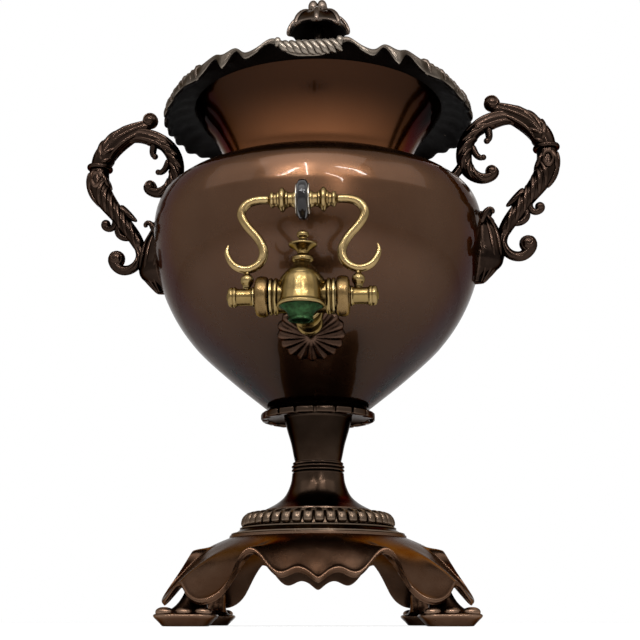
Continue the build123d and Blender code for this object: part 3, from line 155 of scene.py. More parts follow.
def turned(name, outline, steps=96, place=(0, 0, 0), lay=(0, 0, 0), crisp=35):
    """A piece turned on a lathe from an outline of (radius, height) in millimetres."""
    bpy.ops.object.select_all(action="DESELECT")
    bpy.ops.mesh.primitive_plane_add(size=0.01, location=(0, 0, 0))
    piece = bpy.context.object
    piece.name = name
    open_mesh()
    bpy.ops.mesh.merge(type="CENTER")
    r, z = outline[0]
    bpy.ops.transform.translate(value=(0.001 * r, 0, 0.001 * z))
    for after in outline[1:]:
        bpy.ops.mesh.extrude_vertices_move(
            TRANSFORM_OT_translate={"value": (0.001 * (after[0] - r), 0, 0.001 * (after[1] - z))})
        r, z = after
    bpy.ops.mesh.select_all(action="SELECT")
    bpy.ops.mesh.spin(steps=steps, angle=2 * math.pi, center=(0, 0, 0), axis=(0, 0, 1))
    bpy.ops.mesh.select_all(action="SELECT")
    bpy.ops.mesh.remove_doubles(threshold=0.00001)
    close_mesh()
    piece.rotation_euler = [math.radians(angle) for angle in lay]
    piece.location = [0.001 * c for c in place]
    settle()
    bpy.ops.object.shade_smooth_by_angle(angle=math.radians(crisp))
    return piece


def cast_skin(name, rings, soft=2, turn=0.0):
    """A casting laid through closed rings of points (millimetres) that follow each other round."""
    bpy.ops.object.select_all(action="DESELECT")
    across, along = len(rings[0]), len(rings)
    bpy.ops.mesh.primitive_grid_add(x_subdivisions=across, y_subdivisions=along, size=0.1,
        location=(0, 0, 0))
    piece = bpy.context.object
    piece.name = name
    for corner in piece.data.vertices:
        row, column = divmod(corner.index, across + 1)
        corner.co = [0.001 * c for c in rings[row % along][column % across]]
    open_mesh()
    bpy.ops.mesh.remove_doubles(threshold=0.000005)
    close_mesh()
    softened(piece, soft)
    piece.rotation_euler = (0, 0, math.radians(turn))
    settle()
    return piece


bronze_skirt = patina("bronze_skirt", (0.043, 0.0200, 0.0105), (0.20, 0.13, 0.09), 0.25, 24,
    edge=0.85, pits=0.12)
base_turn = 3.3
table_z, root_r, skirt_thick, boss_out = 56.5, 56.0, 2.8, 100.4
skirt_top = table_z - 1.0
# The lip from the middle of a side to its corner: along the side, out from the middle, height.
skirt_edge = [(0.0, 86.2, 25.6), (4.6, 84.2, 31.0), (11.9, 82.3, 34.6), (17.5, 83.6, 31.2),
    (22.8, 84.4, 29.4), (28.8, 82.0, 34.3), (33.6, 78.4, 41.3), (39.3, 76.6, 45.4),
    (45.0, 78.0, 42.0), (49.0, 83.0, 32.4), (51.5, 88.2, 24.4), (57.0, 91.6, 18.0),
    (63.5, 92.4, 14.8), (70.5, 90.4, 14.4), (76.6, 85.6, 19.4), (79.7, 79.7, 27.4)]
# How deep the folds are dished at the same places.
dish = [0.4, 0.2, 0, 0, 0, 0, -0.8, -1.2, -0.6, 0.6, 1.2, 1.8, 2.2, 1.8, 0.4, -1.4]
rings = []
for side in range(4):
    for station in range(-15, 15):
        along, out, low = skirt_edge[abs(station)]
        sink = dish[abs(station)]
        along = math.copysign(along, station)
        spin = math.radians(3.0 * station)
        root = (root_r * math.sin(spin), -root_r * math.cos(spin))
        reach = math.dist(root, (along, -out))
        way = ((along - root[0]) / reach, (-out - root[1]) / reach)
        slope = skirt_top - 0.123 * reach
        fall = skirt_top - 0.264 * reach
        knee = fall + 0.55 * (low - fall)
        profile = [(-2.0, skirt_top + 0.1), (0, skirt_top), (0.3 * reach, slope),
            (0.6 * reach, fall - 0.4 * sink), (0.84 * reach - 0.2 * sink, knee - sink),
            (reach - 1.3, low + 1.5), (reach + 0.3, low + 0.9), (reach + 0.9, low - 0.6),
            (reach + 0.2, low - 1.9), (reach - 0.5, low - 2.1), (reach - 0.7, low - 3.0),
            (reach - 1.8, low - 3.0), (0.84 * reach - 1.5, knee - sink - skirt_thick),
            (0.6 * reach - 1.0, fall - 0.4 * sink - skirt_thick),
            (0.3 * reach, slope - skirt_thick), (-2.0, table_z - 4.0)]
        c, s = math.cos(math.radians(90 * side)), math.sin(math.radians(90 * side))
        ring = []
        for step, height in profile:
            x, y = root[0] + step * way[0], root[1] + step * way[1]
            ring.append((x * c - y * s, x * s + y * c, height))
        rings.append(ring)
skirt = cast_skin("plinth_skirt", rings, 2, base_turn)
finish_piece(skirt, bronze_skirt, "urn", "plinth")

plinth_table = turned("plinth_table", [(4.1, table_z), (56.9, table_z), (57.4, 56.3), (57.5, 55.8),
    (57.5, 53.6), (56.8, 52.5), (4.1, 52.5), (4.1, table_z)])
finish_piece(plinth_table, bronze_skirt, "urn")
for corner in range(4):
    turn = math.radians(90 * corner + 45 + base_turn)
    boss = turned(f"plinth_boss_{corner + 1}", [
        (2.1, 22.0), (6.3, 22.0), (6.5, 22.3), (2.6, 31.2), (2.2, 31.5), (2.1, 29.0), (2.1, 22.0)],
        steps=24, place=(boss_out * math.cos(turn), boss_out * math.sin(turn), 0))
    finish_piece(boss, bronze_skirt, "urn")


# ---- Feet ----
# Four cast bronze pads stand under the plinth's corners. Each has a flared rim, three worn pillows
# on top and a waisted neck, and a screw goes up through it into the plinth's boss.
def pad_ring(at, half, corner, height):
    """A ring round a foot: square with round corners, or round where the corner is 2."""
    ring = []
    for point in range(24):
        spin = math.radians(15 * point)
        waves = (math.cos(spin), math.sin(spin))
        x, y = (at + half * math.copysign(abs(wave) ** (2 / corner), wave) for wave in waves)
        ring.append((x, y, height))
    return ring


def swung(piece, turn):
    """The piece in hand, turned about the urn's axis by so many degrees."""
    piece.rotation_euler = (0, 0, math.radians(turn))
    settle()
    return piece


def joined(name, pieces, turn=0.0):
    """Cast in one with each other: the pieces become one mesh, turned about the urn's axis."""
    bpy.ops.object.select_all(action="DESELECT")
    for piece in pieces:
        piece.select_set(True)
    bpy.context.view_layer.objects.active = pieces[0]
    bpy.ops.object.join()
    pieces[0].name = name
    return swung(pieces[0], turn)


def copied(piece, name, turn):
    """A second piece from the same mould, turned about the urn's axis by so many degrees."""
    bpy.ops.object.select_all(action="DESELECT")
    piece.select_set(True)
    bpy.context.view_layer.objects.active = piece
    bpy.ops.object.duplicate()
    bpy.context.object.name = name
    return swung(bpy.context.object, turn)


pad_at, boss_at, pillow_at, pillow_z = 76.5, 71.0, 12.4, 0.0080
foot = cast_skin("foot", [pad_ring(*row) for row in ((pad_at, 12.6, 4, 0.0),
    (pad_at, 13.4, 4, 0.1), (pad_at, 14.6, 4, 1.6), (pad_at, 16.6, 4, 3.6), (pad_at, 18.2, 4, 5.0),
    (pad_at, 18.7, 4, 6.1), (pad_at, 18.0, 4, 7.0), (pad_at, 16.4, 4, 7.3),
    (pad_at, 14.2, 3.4, 7.7), (pad_at - 1.5, 11.2, 2.8, 9.2), (73.6, 9.0, 2.2, 12.0),
    (72.2, 7.6, 2, 16.0), (71.2, 6.8, 2, 20.0), (boss_at, 6.4, 2, 21.9), (boss_at, 5.0, 2, 22.0),
    (boss_at, 2.2, 2, 22.0), (boss_at, 2.1, 2, 20.0), (boss_at, 2.1, 2, 6.0),
    (boss_at, 2.3, 2, 4.1), (boss_at, 4.0, 2, 4.0), (boss_at, 4.1, 2, 3.0), (boss_at, 4.1, 2, 0.3),
    (boss_at, 4.6, 2, 0.0))], 1)
foot_parts = [foot]
for along in (-11.0, 0.0, 11.0):
    for x, y in ((pad_at + pillow_at, pad_at + along), (pad_at + along, pad_at + pillow_at)):
        middle = (0.001 * x, 0.001 * y, pillow_z)
        bpy.ops.mesh.primitive_uv_sphere_add(segments=16, ring_count=10, radius=0.0046,
            location=middle)
        open_mesh()
        bpy.ops.transform.resize(value=(0.9, 1.1, 0.62) if x > y else (1.1, 0.9, 0.62),
            center_override=middle)
        bpy.ops.object.mode_set(mode="OBJECT")
        settle()
        bpy.ops.object.shade_smooth()
        foot_parts.append(bpy.context.object)
foot = joined("foot", foot_parts)
for quarter, node in enumerate(("foot_back_right", "foot_back_left", "foot_front_left",
        "foot_front_right")):
    cast_foot = copied(foot, node.replace("foot_", "foot_cast_"), 90 * quarter + base_turn)
    finish_piece(cast_foot, bronze_skirt, "urn", node)
bpy.data.objects.remove(foot)


# ---- Gadrooned dome ----
# A spun bronze dome joins the plinth to the stem. Forty-two upright gadroons are chased round its
# belt, between a bead below and a stepped moulding above.
def bowed(points, parts=4):
    """A smooth run of points through the given ones."""
    run = []
    for place in range(len(points) - 1):
        before = points[max(place - 1, 0)]
        here, after = points[place], points[place + 1]
        beyond = points[min(place + 2, len(points) - 1)]
        for part in range(parts):
            t = part / parts
            run.append(tuple(
                0.5 * (2 * b + (c - a) * t + (2 * a - 5 * b + 4 * c - d) * t * t
                       + (3 * b - a - 3 * c + d) * t ** 3)
                for a, b, c, d in zip(before, here, after, beyond)))
    run.append(tuple(points[-1]))
    return run


bronze_dome = patina("bronze_dome", (0.020, 0.0115, 0.0065), (0.20, 0.145, 0.105), 0.24, 30,
    edge=0.8, pits=0.1)
dome = turned("gadroon_dome_body", [(9.0, 71.8), (9.0, 56.5), (56.0, 56.5), (56.5, 56.9),
    (56.4, 57.6), (55.2, 57.9)] + bowed([(54.4, 57.9), (52.4, 59.0), (50.6, 60.3)], 3)
    + [(50.9, 60.6), (50.9, 61.3), (50.2, 61.6), (48.2, 61.6)]
    + bowed([(47.6, 61.9), (46.6, 65.0), (43.6, 68.4), (39.4, 70.4)], 4)
    + [(39.2, 70.9), (38.6, 71.4), (37.6, 71.4), (37.2, 71.0), (36.2, 71.2), (35.9, 71.8),
    (9.0, 71.8)], steps=144, crisp=30)
finish_piece(dome, bronze_dome, "urn", "gadroon_dome")

# One gadroon from its foot up: distance from the axis, height, half its width.
gadroon_line = [(48.2, 61.8, 2.9), (49.2, 63.0, 4.3), (49.1, 65.0, 4.5), (48.2, 67.4, 4.4),
    (46.4, 69.6, 3.9), (44.0, 71.0, 2.6), (42.4, 71.2, 1.2)]
gadroons, gadroon_middle = 42, (0.0455, 0, 0.066)
grown, last = 1.0, gadroon_line[0]
bpy.ops.mesh.primitive_circle_add(vertices=8, radius=0.001, fill_type="NGON",
    location=(0.001 * last[0], 0, 0.001 * last[1]))
gadroon = bpy.context.object
gadroon.name = "gadroons"
bpy.ops.object.mode_set(mode="EDIT")
for r, z, half in gadroon_line:
    bpy.ops.mesh.extrude_region_move(TRANSFORM_OT_translate={"value": (0.001 * (r - last[0]), 0,
        0.001 * (z - last[1]))})
    bpy.ops.transform.resize(value=(half / grown,) * 3, center_override=(0.001 * r, 0, 0.001 * z))
    grown, last = half, (r, z)
bpy.ops.mesh.select_all(action="SELECT")
bpy.ops.mesh.remove_doubles(threshold=0.00001)
bpy.ops.mesh.select_all(action="SELECT")
bpy.ops.mesh.normals_make_consistent(inside=False)
bpy.ops.transform.resize(value=(0.62, 0.80, 1), center_override=gadroon_middle)
bpy.ops.mesh.select_all(action="SELECT")
bpy.ops.mesh.spin(steps=gadroons, angle=2 * math.pi, dupli=True, center=(0, 0, 0), axis=(0, 0, 1))
bpy.ops.object.mode_set(mode="OBJECT")
settle()
softened(gadroon, 1)
finish_piece(gadroon, bronze_dome, "urn")


# ---- Stem and collar ----
# The baluster stem is turned in two lengths with three reeds at their joint. The collar on top is
# a flat cast ring whose edge is cut into eighteen square tabs that catch the bowl's foot.
# Painted shadow: the stem and collar are painted darker towards their top, where the bowl overhangs
# them.
bronze_stem = patina("bronze_stem", (0.012, 0.0068, 0.0042), (0.13, 0.085, 0.06), 0.22, 26,
    edge=0.5, pits=0.08, painted_shade=(0.128, 0.092, 0.75))
stem = turned("stem_foot", [(9.0, 104.6), (9.0, 71.8), (35.0, 71.8), (35.5, 72.2), (35.3, 72.9)]
    + bowed([(34.2, 73.4), (27.0, 77.4), (21.4, 82.6), (18.0, 90.2), (17.0, 96.6)], 5)
    + [(17.0, 97.1), (15.9, 97.3), (15.9, 97.7)] + bowed([(16.2, 97.9), (17.3, 98.6), (17.3, 99.5),
    (16.2, 100.1)], 3) + bowed([(16.2, 100.3), (17.3, 100.9), (17.3, 101.9), (16.2, 102.5)], 3)
    + bowed([(16.1, 102.7), (16.6, 103.2), (16.6, 104.0), (15.6, 104.5)], 3)
    + [(9.0, 104.6)], steps=96, crisp=40)
finish_piece(stem, bronze_stem, "urn", "stem_lower")
stem_top = turned("stem_neck", [(9.0, 135.0), (9.0, 104.6), (15.3, 104.6)]
    + bowed([(15.3, 105.0), (16.3, 109.6), (17.8, 116.8), (20.4, 125.6), (22.5, 133.4)], 5)
    + [(22.6, 135.0), (9.0, 135.0)], steps=96, crisp=40)
finish_piece(stem_top, bronze_stem, "urn", "stem_upper")

collar = turned("collar_ring", [(4.05, 140.0), (4.05, 135.0), (24.2, 135.0), (27.0, 134.4),
    (33.2, 133.4), (35.2, 132.8), (35.6, 134.0), (35.6, 136.0), (34.2, 137.4), (33.4, 138.6),
    (32.5, 140.0), (12.1, 140.0), (12.1, 138.0), (4.05, 140.0)], steps=108, crisp=30)
finish_piece(collar, bronze_stem, "urn", "collar")
tab_count, tab_at = 18, (0.0354, 0, 0.1345)
bpy.ops.mesh.primitive_cube_add(size=0.001, location=tab_at)
tabs = bpy.context.object
tabs.name = "collar_tabs"
open_mesh()
bpy.ops.transform.resize(value=(4.6, 11.4, 4.8), center_override=tab_at)
bpy.ops.mesh.bevel(offset=0.0013, segments=3, affect="EDGES")
bpy.ops.mesh.select_all(action="SELECT")
bpy.ops.mesh.spin(steps=tab_count, angle=2 * math.pi, dupli=True, center=(0, 0, 0), axis=(0, 0, 1))
bpy.ops.object.mode_set(mode="OBJECT")
settle()
bpy.ops.object.shade_smooth_by_angle(angle=math.radians(40))
finish_piece(tabs, bronze_stem, "urn")


# ---- Rim border ----
# A cast border lies round the top of the neck. Its waved edge hangs outwards in flaps, with a
# rolled lip; a rope of slanting gadroons runs over the front and back flaps, and leaves over the
# side ones.
bronze_dark = patina("bronze_dark", (0.010, 0.0065, 0.005), (0.20, 0.155, 0.125), 0.24, 34,
    edge=0.85, pits=0.15)
# A paler copy of the bronze: a painted highlight for the light on the outward faces of the rim and
# the rope.
bronze_painted_light = patina("bronze_painted_light", (0.034, 0.026, 0.020), (0.26, 0.22, 0.18), 0.27, 34,
    edge=0.8, pits=0.1)
# Near-black painted shade for the rim's underside and the hollow under the finial cap.
underside_painted_shade = patina("underside_painted_shade", (0.0016, 0.0010, 0.0008), (0.006, 0.0035, 0.0025), 0.6, 34, metal=0.0)
underside_painted_shade.node_tree.nodes["Principled BSDF"].inputs["Specular IOR Level"].default_value = 0.03
rim_seat, seat_out, flap_out, lip_out = 352.0, 88.5, 109, 106.0
# A quarter of the edge, from the front to the side: how much shorter, its low and high line.
rim_wave = [(3.2, -7.2, 0.6), (3.0, -6.8, 1.0), (2.4, -2.6, 4.6), (3.2, 4.0, 7.6),
    (0.6, -3.0, 1.2), (0.8, -5.4, -0.4), (3.2, 3.4, 6.0), (0.8, -8.2, 2.6), (3.4, 2.6, 5.8),
    (1.0, -5.8, 1.6), (1.6, -8.0, 0.9), (0.2, -8.6, -1.2), (1.6, -7.2, -1.0), (0.2, -9.6, -3.4),
    (1.8, -9.4, -3.4), (0.2, -11.8, -5.6), (2.0, -9.0, -2.8), (0.2, -11.4, -4.8),
    (2.2, -8.8, -1.6), (0.2, -11.2, -4.2), (1.8, -9.6, -2.2)]
round_rim = [rim_wave[20 - abs(station % 40 - 20)] for station in range(80)]
fine_rim = bowed(round_rim[-2:] + round_rim + round_rim[:2], 3)[6:246]
rings = []
for station, (short, low, high) in enumerate(fine_rim):
    spin = math.radians(1.5 * station)
    reach, lip = flap_out - short, lip_out - short
    middle = 0.5 * (seat_out + lip)
    outline = ((79.0, 3.0), (79.0, 0.0), (seat_out, 0.0), (middle, 0.35 * high - 0.2),
        (lip - 1.6, 0.6 * high + 0.4 * low - 0.4), (lip - 0.2, low + 0.5), (lip + 0.9, low - 0.1),
        (reach - 0.4, low + 0.2), (reach, 0.75 * low + 0.25 * high),
        (reach, 0.3 * low + 0.7 * high), (reach - 0.6, high), (lip + 1.0, high + 0.2),
        (lip - 1.0, high - 0.4), (middle, 2.6 + 0.5 * high), (seat_out, 3.0), (83.0, 3.0))
    rings.append([(r * math.sin(spin), -r * math.cos(spin), rim_seat + z) for r, z in outline])
rim = cast_skin("rim_cast", rings, 1)
finish_piece(rim, bronze_dark, "urn", "rim_border")
rim.data.materials.append(underside_painted_shade)
rim.data.materials.append(bronze_painted_light)
# Outward faces take the painted highlight copy, and the other faces that are not turned up take the
# painted shade.
for face in rim.data.polygons:
    out = math.hypot(face.center.x, face.center.y)
    outward = (face.normal.x * face.center.x + face.normal.y * face.center.y) / out
    if outward > 0.5 and out > 0.1:
        face.material_index = 2
    elif face.normal.z < 0.25:
        face.material_index = 1


def cast_bar(name, stations, deep=1.0, sides=8):
    """A cast bar or rib drawn through (out, height, half thickness, sideways), in millimetres."""
    bpy.ops.object.select_all(action="DESELECT")
    out, high, half, aside = stations[0]
    bpy.ops.mesh.primitive_circle_add(vertices=sides, radius=0.001, fill_type="NGON",
        location=(0.001 * out, 0.001 * aside, 0.001 * high))
    bar = bpy.context.object
    bar.name = name
    lean, grown = 0.0, 1.0
    open_mesh()
    for place, (out, high, half, aside) in enumerate(stations):
        before = stations[max(place - 1, 0)]
        after = stations[min(place + 1, len(stations) - 1)]
        turn = math.atan2(after[0] - before[0], after[1] - before[1])
        here = (0.001 * out, 0.001 * aside, 0.001 * high)
        if place:
            step = (0.001 * (out - before[0]), 0.001 * (aside - before[3]),
                0.001 * (high - before[1]))
            bpy.ops.mesh.extrude_region_move(TRANSFORM_OT_translate={"value": step})
        bpy.ops.transform.rotate(value=lean - turn, orient_axis="Y", center_override=here)
        bpy.ops.transform.resize(value=(half / grown, half / grown, half / grown),
            center_override=here)
        lean, grown = turn, half
    if deep != 1.0:
        bpy.ops.mesh.select_all(action="SELECT")
        bpy.ops.transform.resize(value=(1, deep, 1), center_override=(0, 0.001 * stations[0][3], 0))
    close_mesh()
    settle()
    softened(bar, 1)
    return bar


rope = []
for step in range(-4, 5):
    tip = (abs(step) / 4) ** 2
    rope.append(swung(cast_bar("rope_rib", [
        (102.6, 355.4 + 0.8 * tip, 1.6, -3.6), (104.9, 354.8 + 0.8 * tip, 2.9, -2.2),
        (105.6, 351.6 + 1.4 * tip, 3.4, 0.0), (105.4, 348.4 + 2.4 * tip, 3.3, 2.0),
        (103.6, 345.8 + 3.2 * tip, 2.2, 3.4)]), 2.3 * step - 90))
for way in (-1, 1):
    rope.append(swung(cast_bar("rope_end", [(104.6, 352.4, 1.6, 0), (106.4, 354.6, 2.4, 0),
        (106.6, 357.0, 2.3, 0), (105.2, 358.8, 1.2, 0)], 1.1), 10.6 * way - 90))
front_rope = joined("rim_rope_front", rope)
finish_piece(front_rope, bronze_painted_light, "urn")
finish_piece(copied(front_rope, "rim_rope_back", 180), bronze_painted_light, "urn")

leaves = []
for step in range(-16, 17):
    spin = 2.8 * step
    at = (90 + spin) / 1.5
    beside = zip(fine_rim[int(at)], fine_rim[int(at) + 1])
    short, low, high = (a + (b - a) * (at - int(at)) for a, b in beside)
    leaves.append(swung(cast_bar("rim_leaf", [(96.0, 354.2 + 0.6 * high, 1.4, -1.2),
        (101.4, 354.6 + high, 2.6, -0.8), (104.9, 353.6 + high, 2.9, -0.3),
        (106.4 - 0.4 * short, 352.0 + 0.6 * high + 0.4 * low, 2.6, 0.5),
        (107.0 - 0.4 * short, 352.6 + 0.25 * high + 0.75 * low, 1.9, 1.1),
        (106.8 - 0.4 * short, 353.2 + low, 1.2, 1.6)], 0.95), spin))
side_leaves = joined("rim_leaves_right", leaves)
finish_piece(side_leaves, bronze_dark, "urn")
finish_piece(copied(side_leaves, "rim_leaves_left", 180), bronze_dark, "urn")


# ---- Lid finial ----
# A cast knob stands on the lid: a hollow cap of overlapping curled leaves on a short stem, with a
# bud of four small round berries on top.
stalk = turned("finial_stalk", [(0.0, 380.2), (2.5, 380.2), (2.5, 389.6), (8.6, 389.6),
    (9.0, 390.0)] + bowed([(8.4, 390.6), (5.6, 392.4), (4.1, 397.0), (4.0, 404.0), (4.0, 420.0)],
    3) + [(0.0, 420.0)], steps=40, crisp=40)
finish_piece(stalk, bronze_dark, "lid", "lid_finial")
rings = []
for station in range(96):
    spin = math.radians(3.75 * station)
    crease = abs(math.sin(math.radians(15 * (station % 12))))
    outline = ((3.4, 429.4), (8.0 - 0.8 * crease, 429.2), (14.2 - 1.6 * crease, 427.0),
        (18.8 - 2.0 * crease, 423.0 - 0.6 * crease), (21.4 - 1.9 * crease, 418.0 - 0.2 * crease),
        (22.6 - 2.2 * crease, 414.2 + 1.8 * crease), (22.4 - 2.6 * crease, 412.4 + 2.2 * crease),
        (21.0 - 2.4 * crease, 412.2 + 2.2 * crease), (19.6 - 2.0 * crease, 414.8 + 1.4 * crease),
        (17.4 - 1.6 * crease, 419.4), (12.6 - 1.0 * crease, 424.0), (7.6, 426.0), (3.4, 426.4))
    rings.append([(r * math.sin(spin), -r * math.cos(spin), z) for r, z in outline])
cap = cast_skin("finial_cap", rings, 1)
finish_piece(cap, bronze_dark, "lid")
# The hollow under the cap is painted near-black as painted shade.
cap.data.materials.append(underside_painted_shade)
for face in cap.data.polygons:
    if face.normal.z < -0.15 and math.hypot(face.center.x, face.center.y) < 0.0205:
        face.material_index = 1
leaf_parts = []
for place in range(8):
    leaf_parts.append(swung(cast_bar("cap_leaf", [(5.0, 428.9, 0.9, 0), (9.6, 429.0, 1.4, 0),
        (14.4, 427.0, 1.6, 0), (18.8, 422.8, 1.7, 0), (21.2, 417.8, 1.7, 0), (22.0, 414.4, 1.5, 0),
        (21.4, 412.8, 0.8, 0)], 1.3), 45 * place - 90))
for place in range(4):
    leaf_parts.append(swung(cast_bar("bud_berry", [
        (3.4, 428.4, 2.2, 0), (4.2, 430.4, 3.8, 0), (4.6, 433.2, 4.3, 0), (4.4, 436.2, 3.7, 0),
        (3.8, 438.6, 1.6, 0)]), 90 * place + 40))
finial_leaves = joined("finial_leaves", leaf_parts)
finish_piece(finial_leaves, bronze_dark, "lid")


# ---- Handles ----
# Each handle is one bronze casting in the form of leafy scrolls, thick over the hand and thin at
# the curls. Leaves lie along it on both faces and a turned band crosses it. The rivets that hold it
# to the bowl are not built; their CAD nodes are hidden with the handle.
bronze_handle = patina("bronze_handle", (0.0030, 0.0020, 0.0016), (0.075, 0.046, 0.033), 0.17, 36,
    edge=0.65, pits=0.1)
handle_turn = -4.0
# The scrolls along their middles: distance from the axis, height, half thickness.
arch = [(122.6, 350.1, 4.2), (128.2, 346.9, 5.4), (135.5, 344.1, 6.2), (143.0, 339.9, 7.0),
    (150.6, 333.5, 7.8), (155.6, 325.5, 8.2), (157.6, 318.5, 7.2), (158.4, 309.0, 8.0),
    (155.6, 299.1, 7.8), (149.2, 289.7, 6.7), (142.7, 281.7, 5.8), (136.6, 273.3, 5.8),
    (130.0, 264.9, 5.2), (125.6, 256.5, 4.2)]
lower_curl = [(129.4, 263.0, 3.4), (125.4, 253.9, 3.7), (126.6, 247.1, 3.6), (131.4, 242.3, 3.6),
    (137.8, 241.3, 3.8), (142.4, 244.6, 4.4), (144.0, 249.8, 5.8), (141.6, 252.4, 5.2)]
inner_curl = [(139.0, 339.6, 4.6), (131.4, 342.4, 5.4), (122.6, 340.6, 5.8), (113.2, 336.7, 5.6),
    (105.6, 328.9, 5.8), (101.8, 319.1, 5.9), (101.8, 309.1, 5.6), (106.2, 301.5, 4.8),
    (113.4, 297.7, 4.0), (119.4, 299.3, 3.9), (121.8, 302.6, 4.4), (119.6, 304.6, 3.0)]
tab = [(102.6, 311.5, 3.8), (97.6, 304.6, 3.4), (92.6, 299.4, 3.3), (87.4, 297.2, 2.4)]
upper_thorn = [(117.6, 338.0, 3.2), (119.2, 330.5, 2.8), (118.8, 326.4, 2.4), (116.6, 324.9, 1.6)]
lower_thorn = [(106.8, 322.5, 3.0), (109.8, 315.4, 2.4), (113.4, 312.9, 2.2), (116.0, 314.4, 1.4)]
leaf_tip = [(143.0, 288.0, 4.2), (135.4, 281.9, 3.2), (128.8, 276.9, 0.9)]
side_curl = [(145.0, 283.5, 3.4), (144.2, 276.1, 2.9), (148.2, 272.1, 2.5), (152.2, 274.2, 2.9),
    (152.8, 277.0, 2.4)]
outer_leaf = [(139.0, 278.0, 2.4), (142.4, 272.6, 2.9), (142.0, 268.2, 2.7), (138.0, 265.2, 2.5),
    (132.8, 264.2, 1.5)]


def on_bar(line, start, end, lean_start, lean_end, thick, face):
    """Stations of a leaf rib that lies on a bar's face, from one share of its length to another."""
    fine = bowed(line, 8)
    rib = []
    for part in range(8):
        share = part / 7
        at = (start + (end - start) * share) * (len(fine) - 1)
        low = min(int(at), len(fine) - 2)
        x, z, half = (a + (b - a) * (at - low) for a, b in zip(fine[low], fine[low + 1]))
        ahead, behind = fine[min(low + 2, len(fine) - 1)], fine[max(low - 1, 0)]
        length = math.dist(ahead[:2], behind[:2]) or 1.0
        across = ((behind[1] - ahead[1]) / length, (ahead[0] - behind[0]) / length)
        lean = lean_start + (lean_end - lean_start) * share
        swell = max(math.sin(math.pi * (0.08 + 0.86 * share)) ** 0.7, 0.2)
        rib.append((x + across[0] * lean * half, z + across[1] * lean * half, 1.35 * thick * swell,
                    face * half * 0.92 * math.sqrt(max(1.0 - lean * lean, 0.0)) * 0.80))
    return rib


bars = []
for line in (arch, lower_curl, inner_curl, tab, upper_thorn, lower_thorn, leaf_tip, side_curl,
        outer_leaf):
    bars.append(cast_bar("scroll", [(*point, 0) for point in bowed(line, 2)], 0.92, 12))
for x, z, ball in ((121.9, 352.7, 5.8), (142.6, 250.0, 6.0), (120.2, 302.6, 4.6),
        (151.6, 275.9, 3.4), (117.6, 325.4, 2.3), (114.8, 313.4, 2.1)):
    arcs = [math.radians(20 * s) for s in range(1, 9)]
    outline = [(0, -ball)] + [(ball * math.sin(a), -ball * math.cos(a)) for a in arcs] + [(0, ball)]
    bars.append(turned("scroll_knob", outline, steps=18, place=(x, 0, z), lay=(90, 0, 0), crisp=80))
for x, z, ball, start in ((121.9, 352.7, 5.8, 200), (142.6, 250.0, 6.0, 60),
        (120.2, 302.6, 4.6, 150)):
    for face in (-1, 1):
        coil = []
        for step in range(14):
            angle = math.radians(start + 34 * step)
            r = ball * (0.94 - 0.052 * step)
            proud = math.sqrt(ball ** 2 - r ** 2) * 0.92 + 0.2
            coil.append((x + r * math.cos(angle), z - r * math.sin(angle), 0.85, face * proud))
        bars.append(cast_bar("scroll_coil", coil, sides=6))
bars.append(turned("scroll_band", [(6.0, -1.5), (8.4, -1.5)]
    + bowed([(8.8, -1.3), (9.2, -0.5), (9.2, 0.5), (8.8, 1.3)], 2)
    + [(8.4, 1.5), (6.0, 1.5), (6.0, -1.5)], steps=36, place=(157.7, 0, 318.1), lay=(0, -4, 0)))
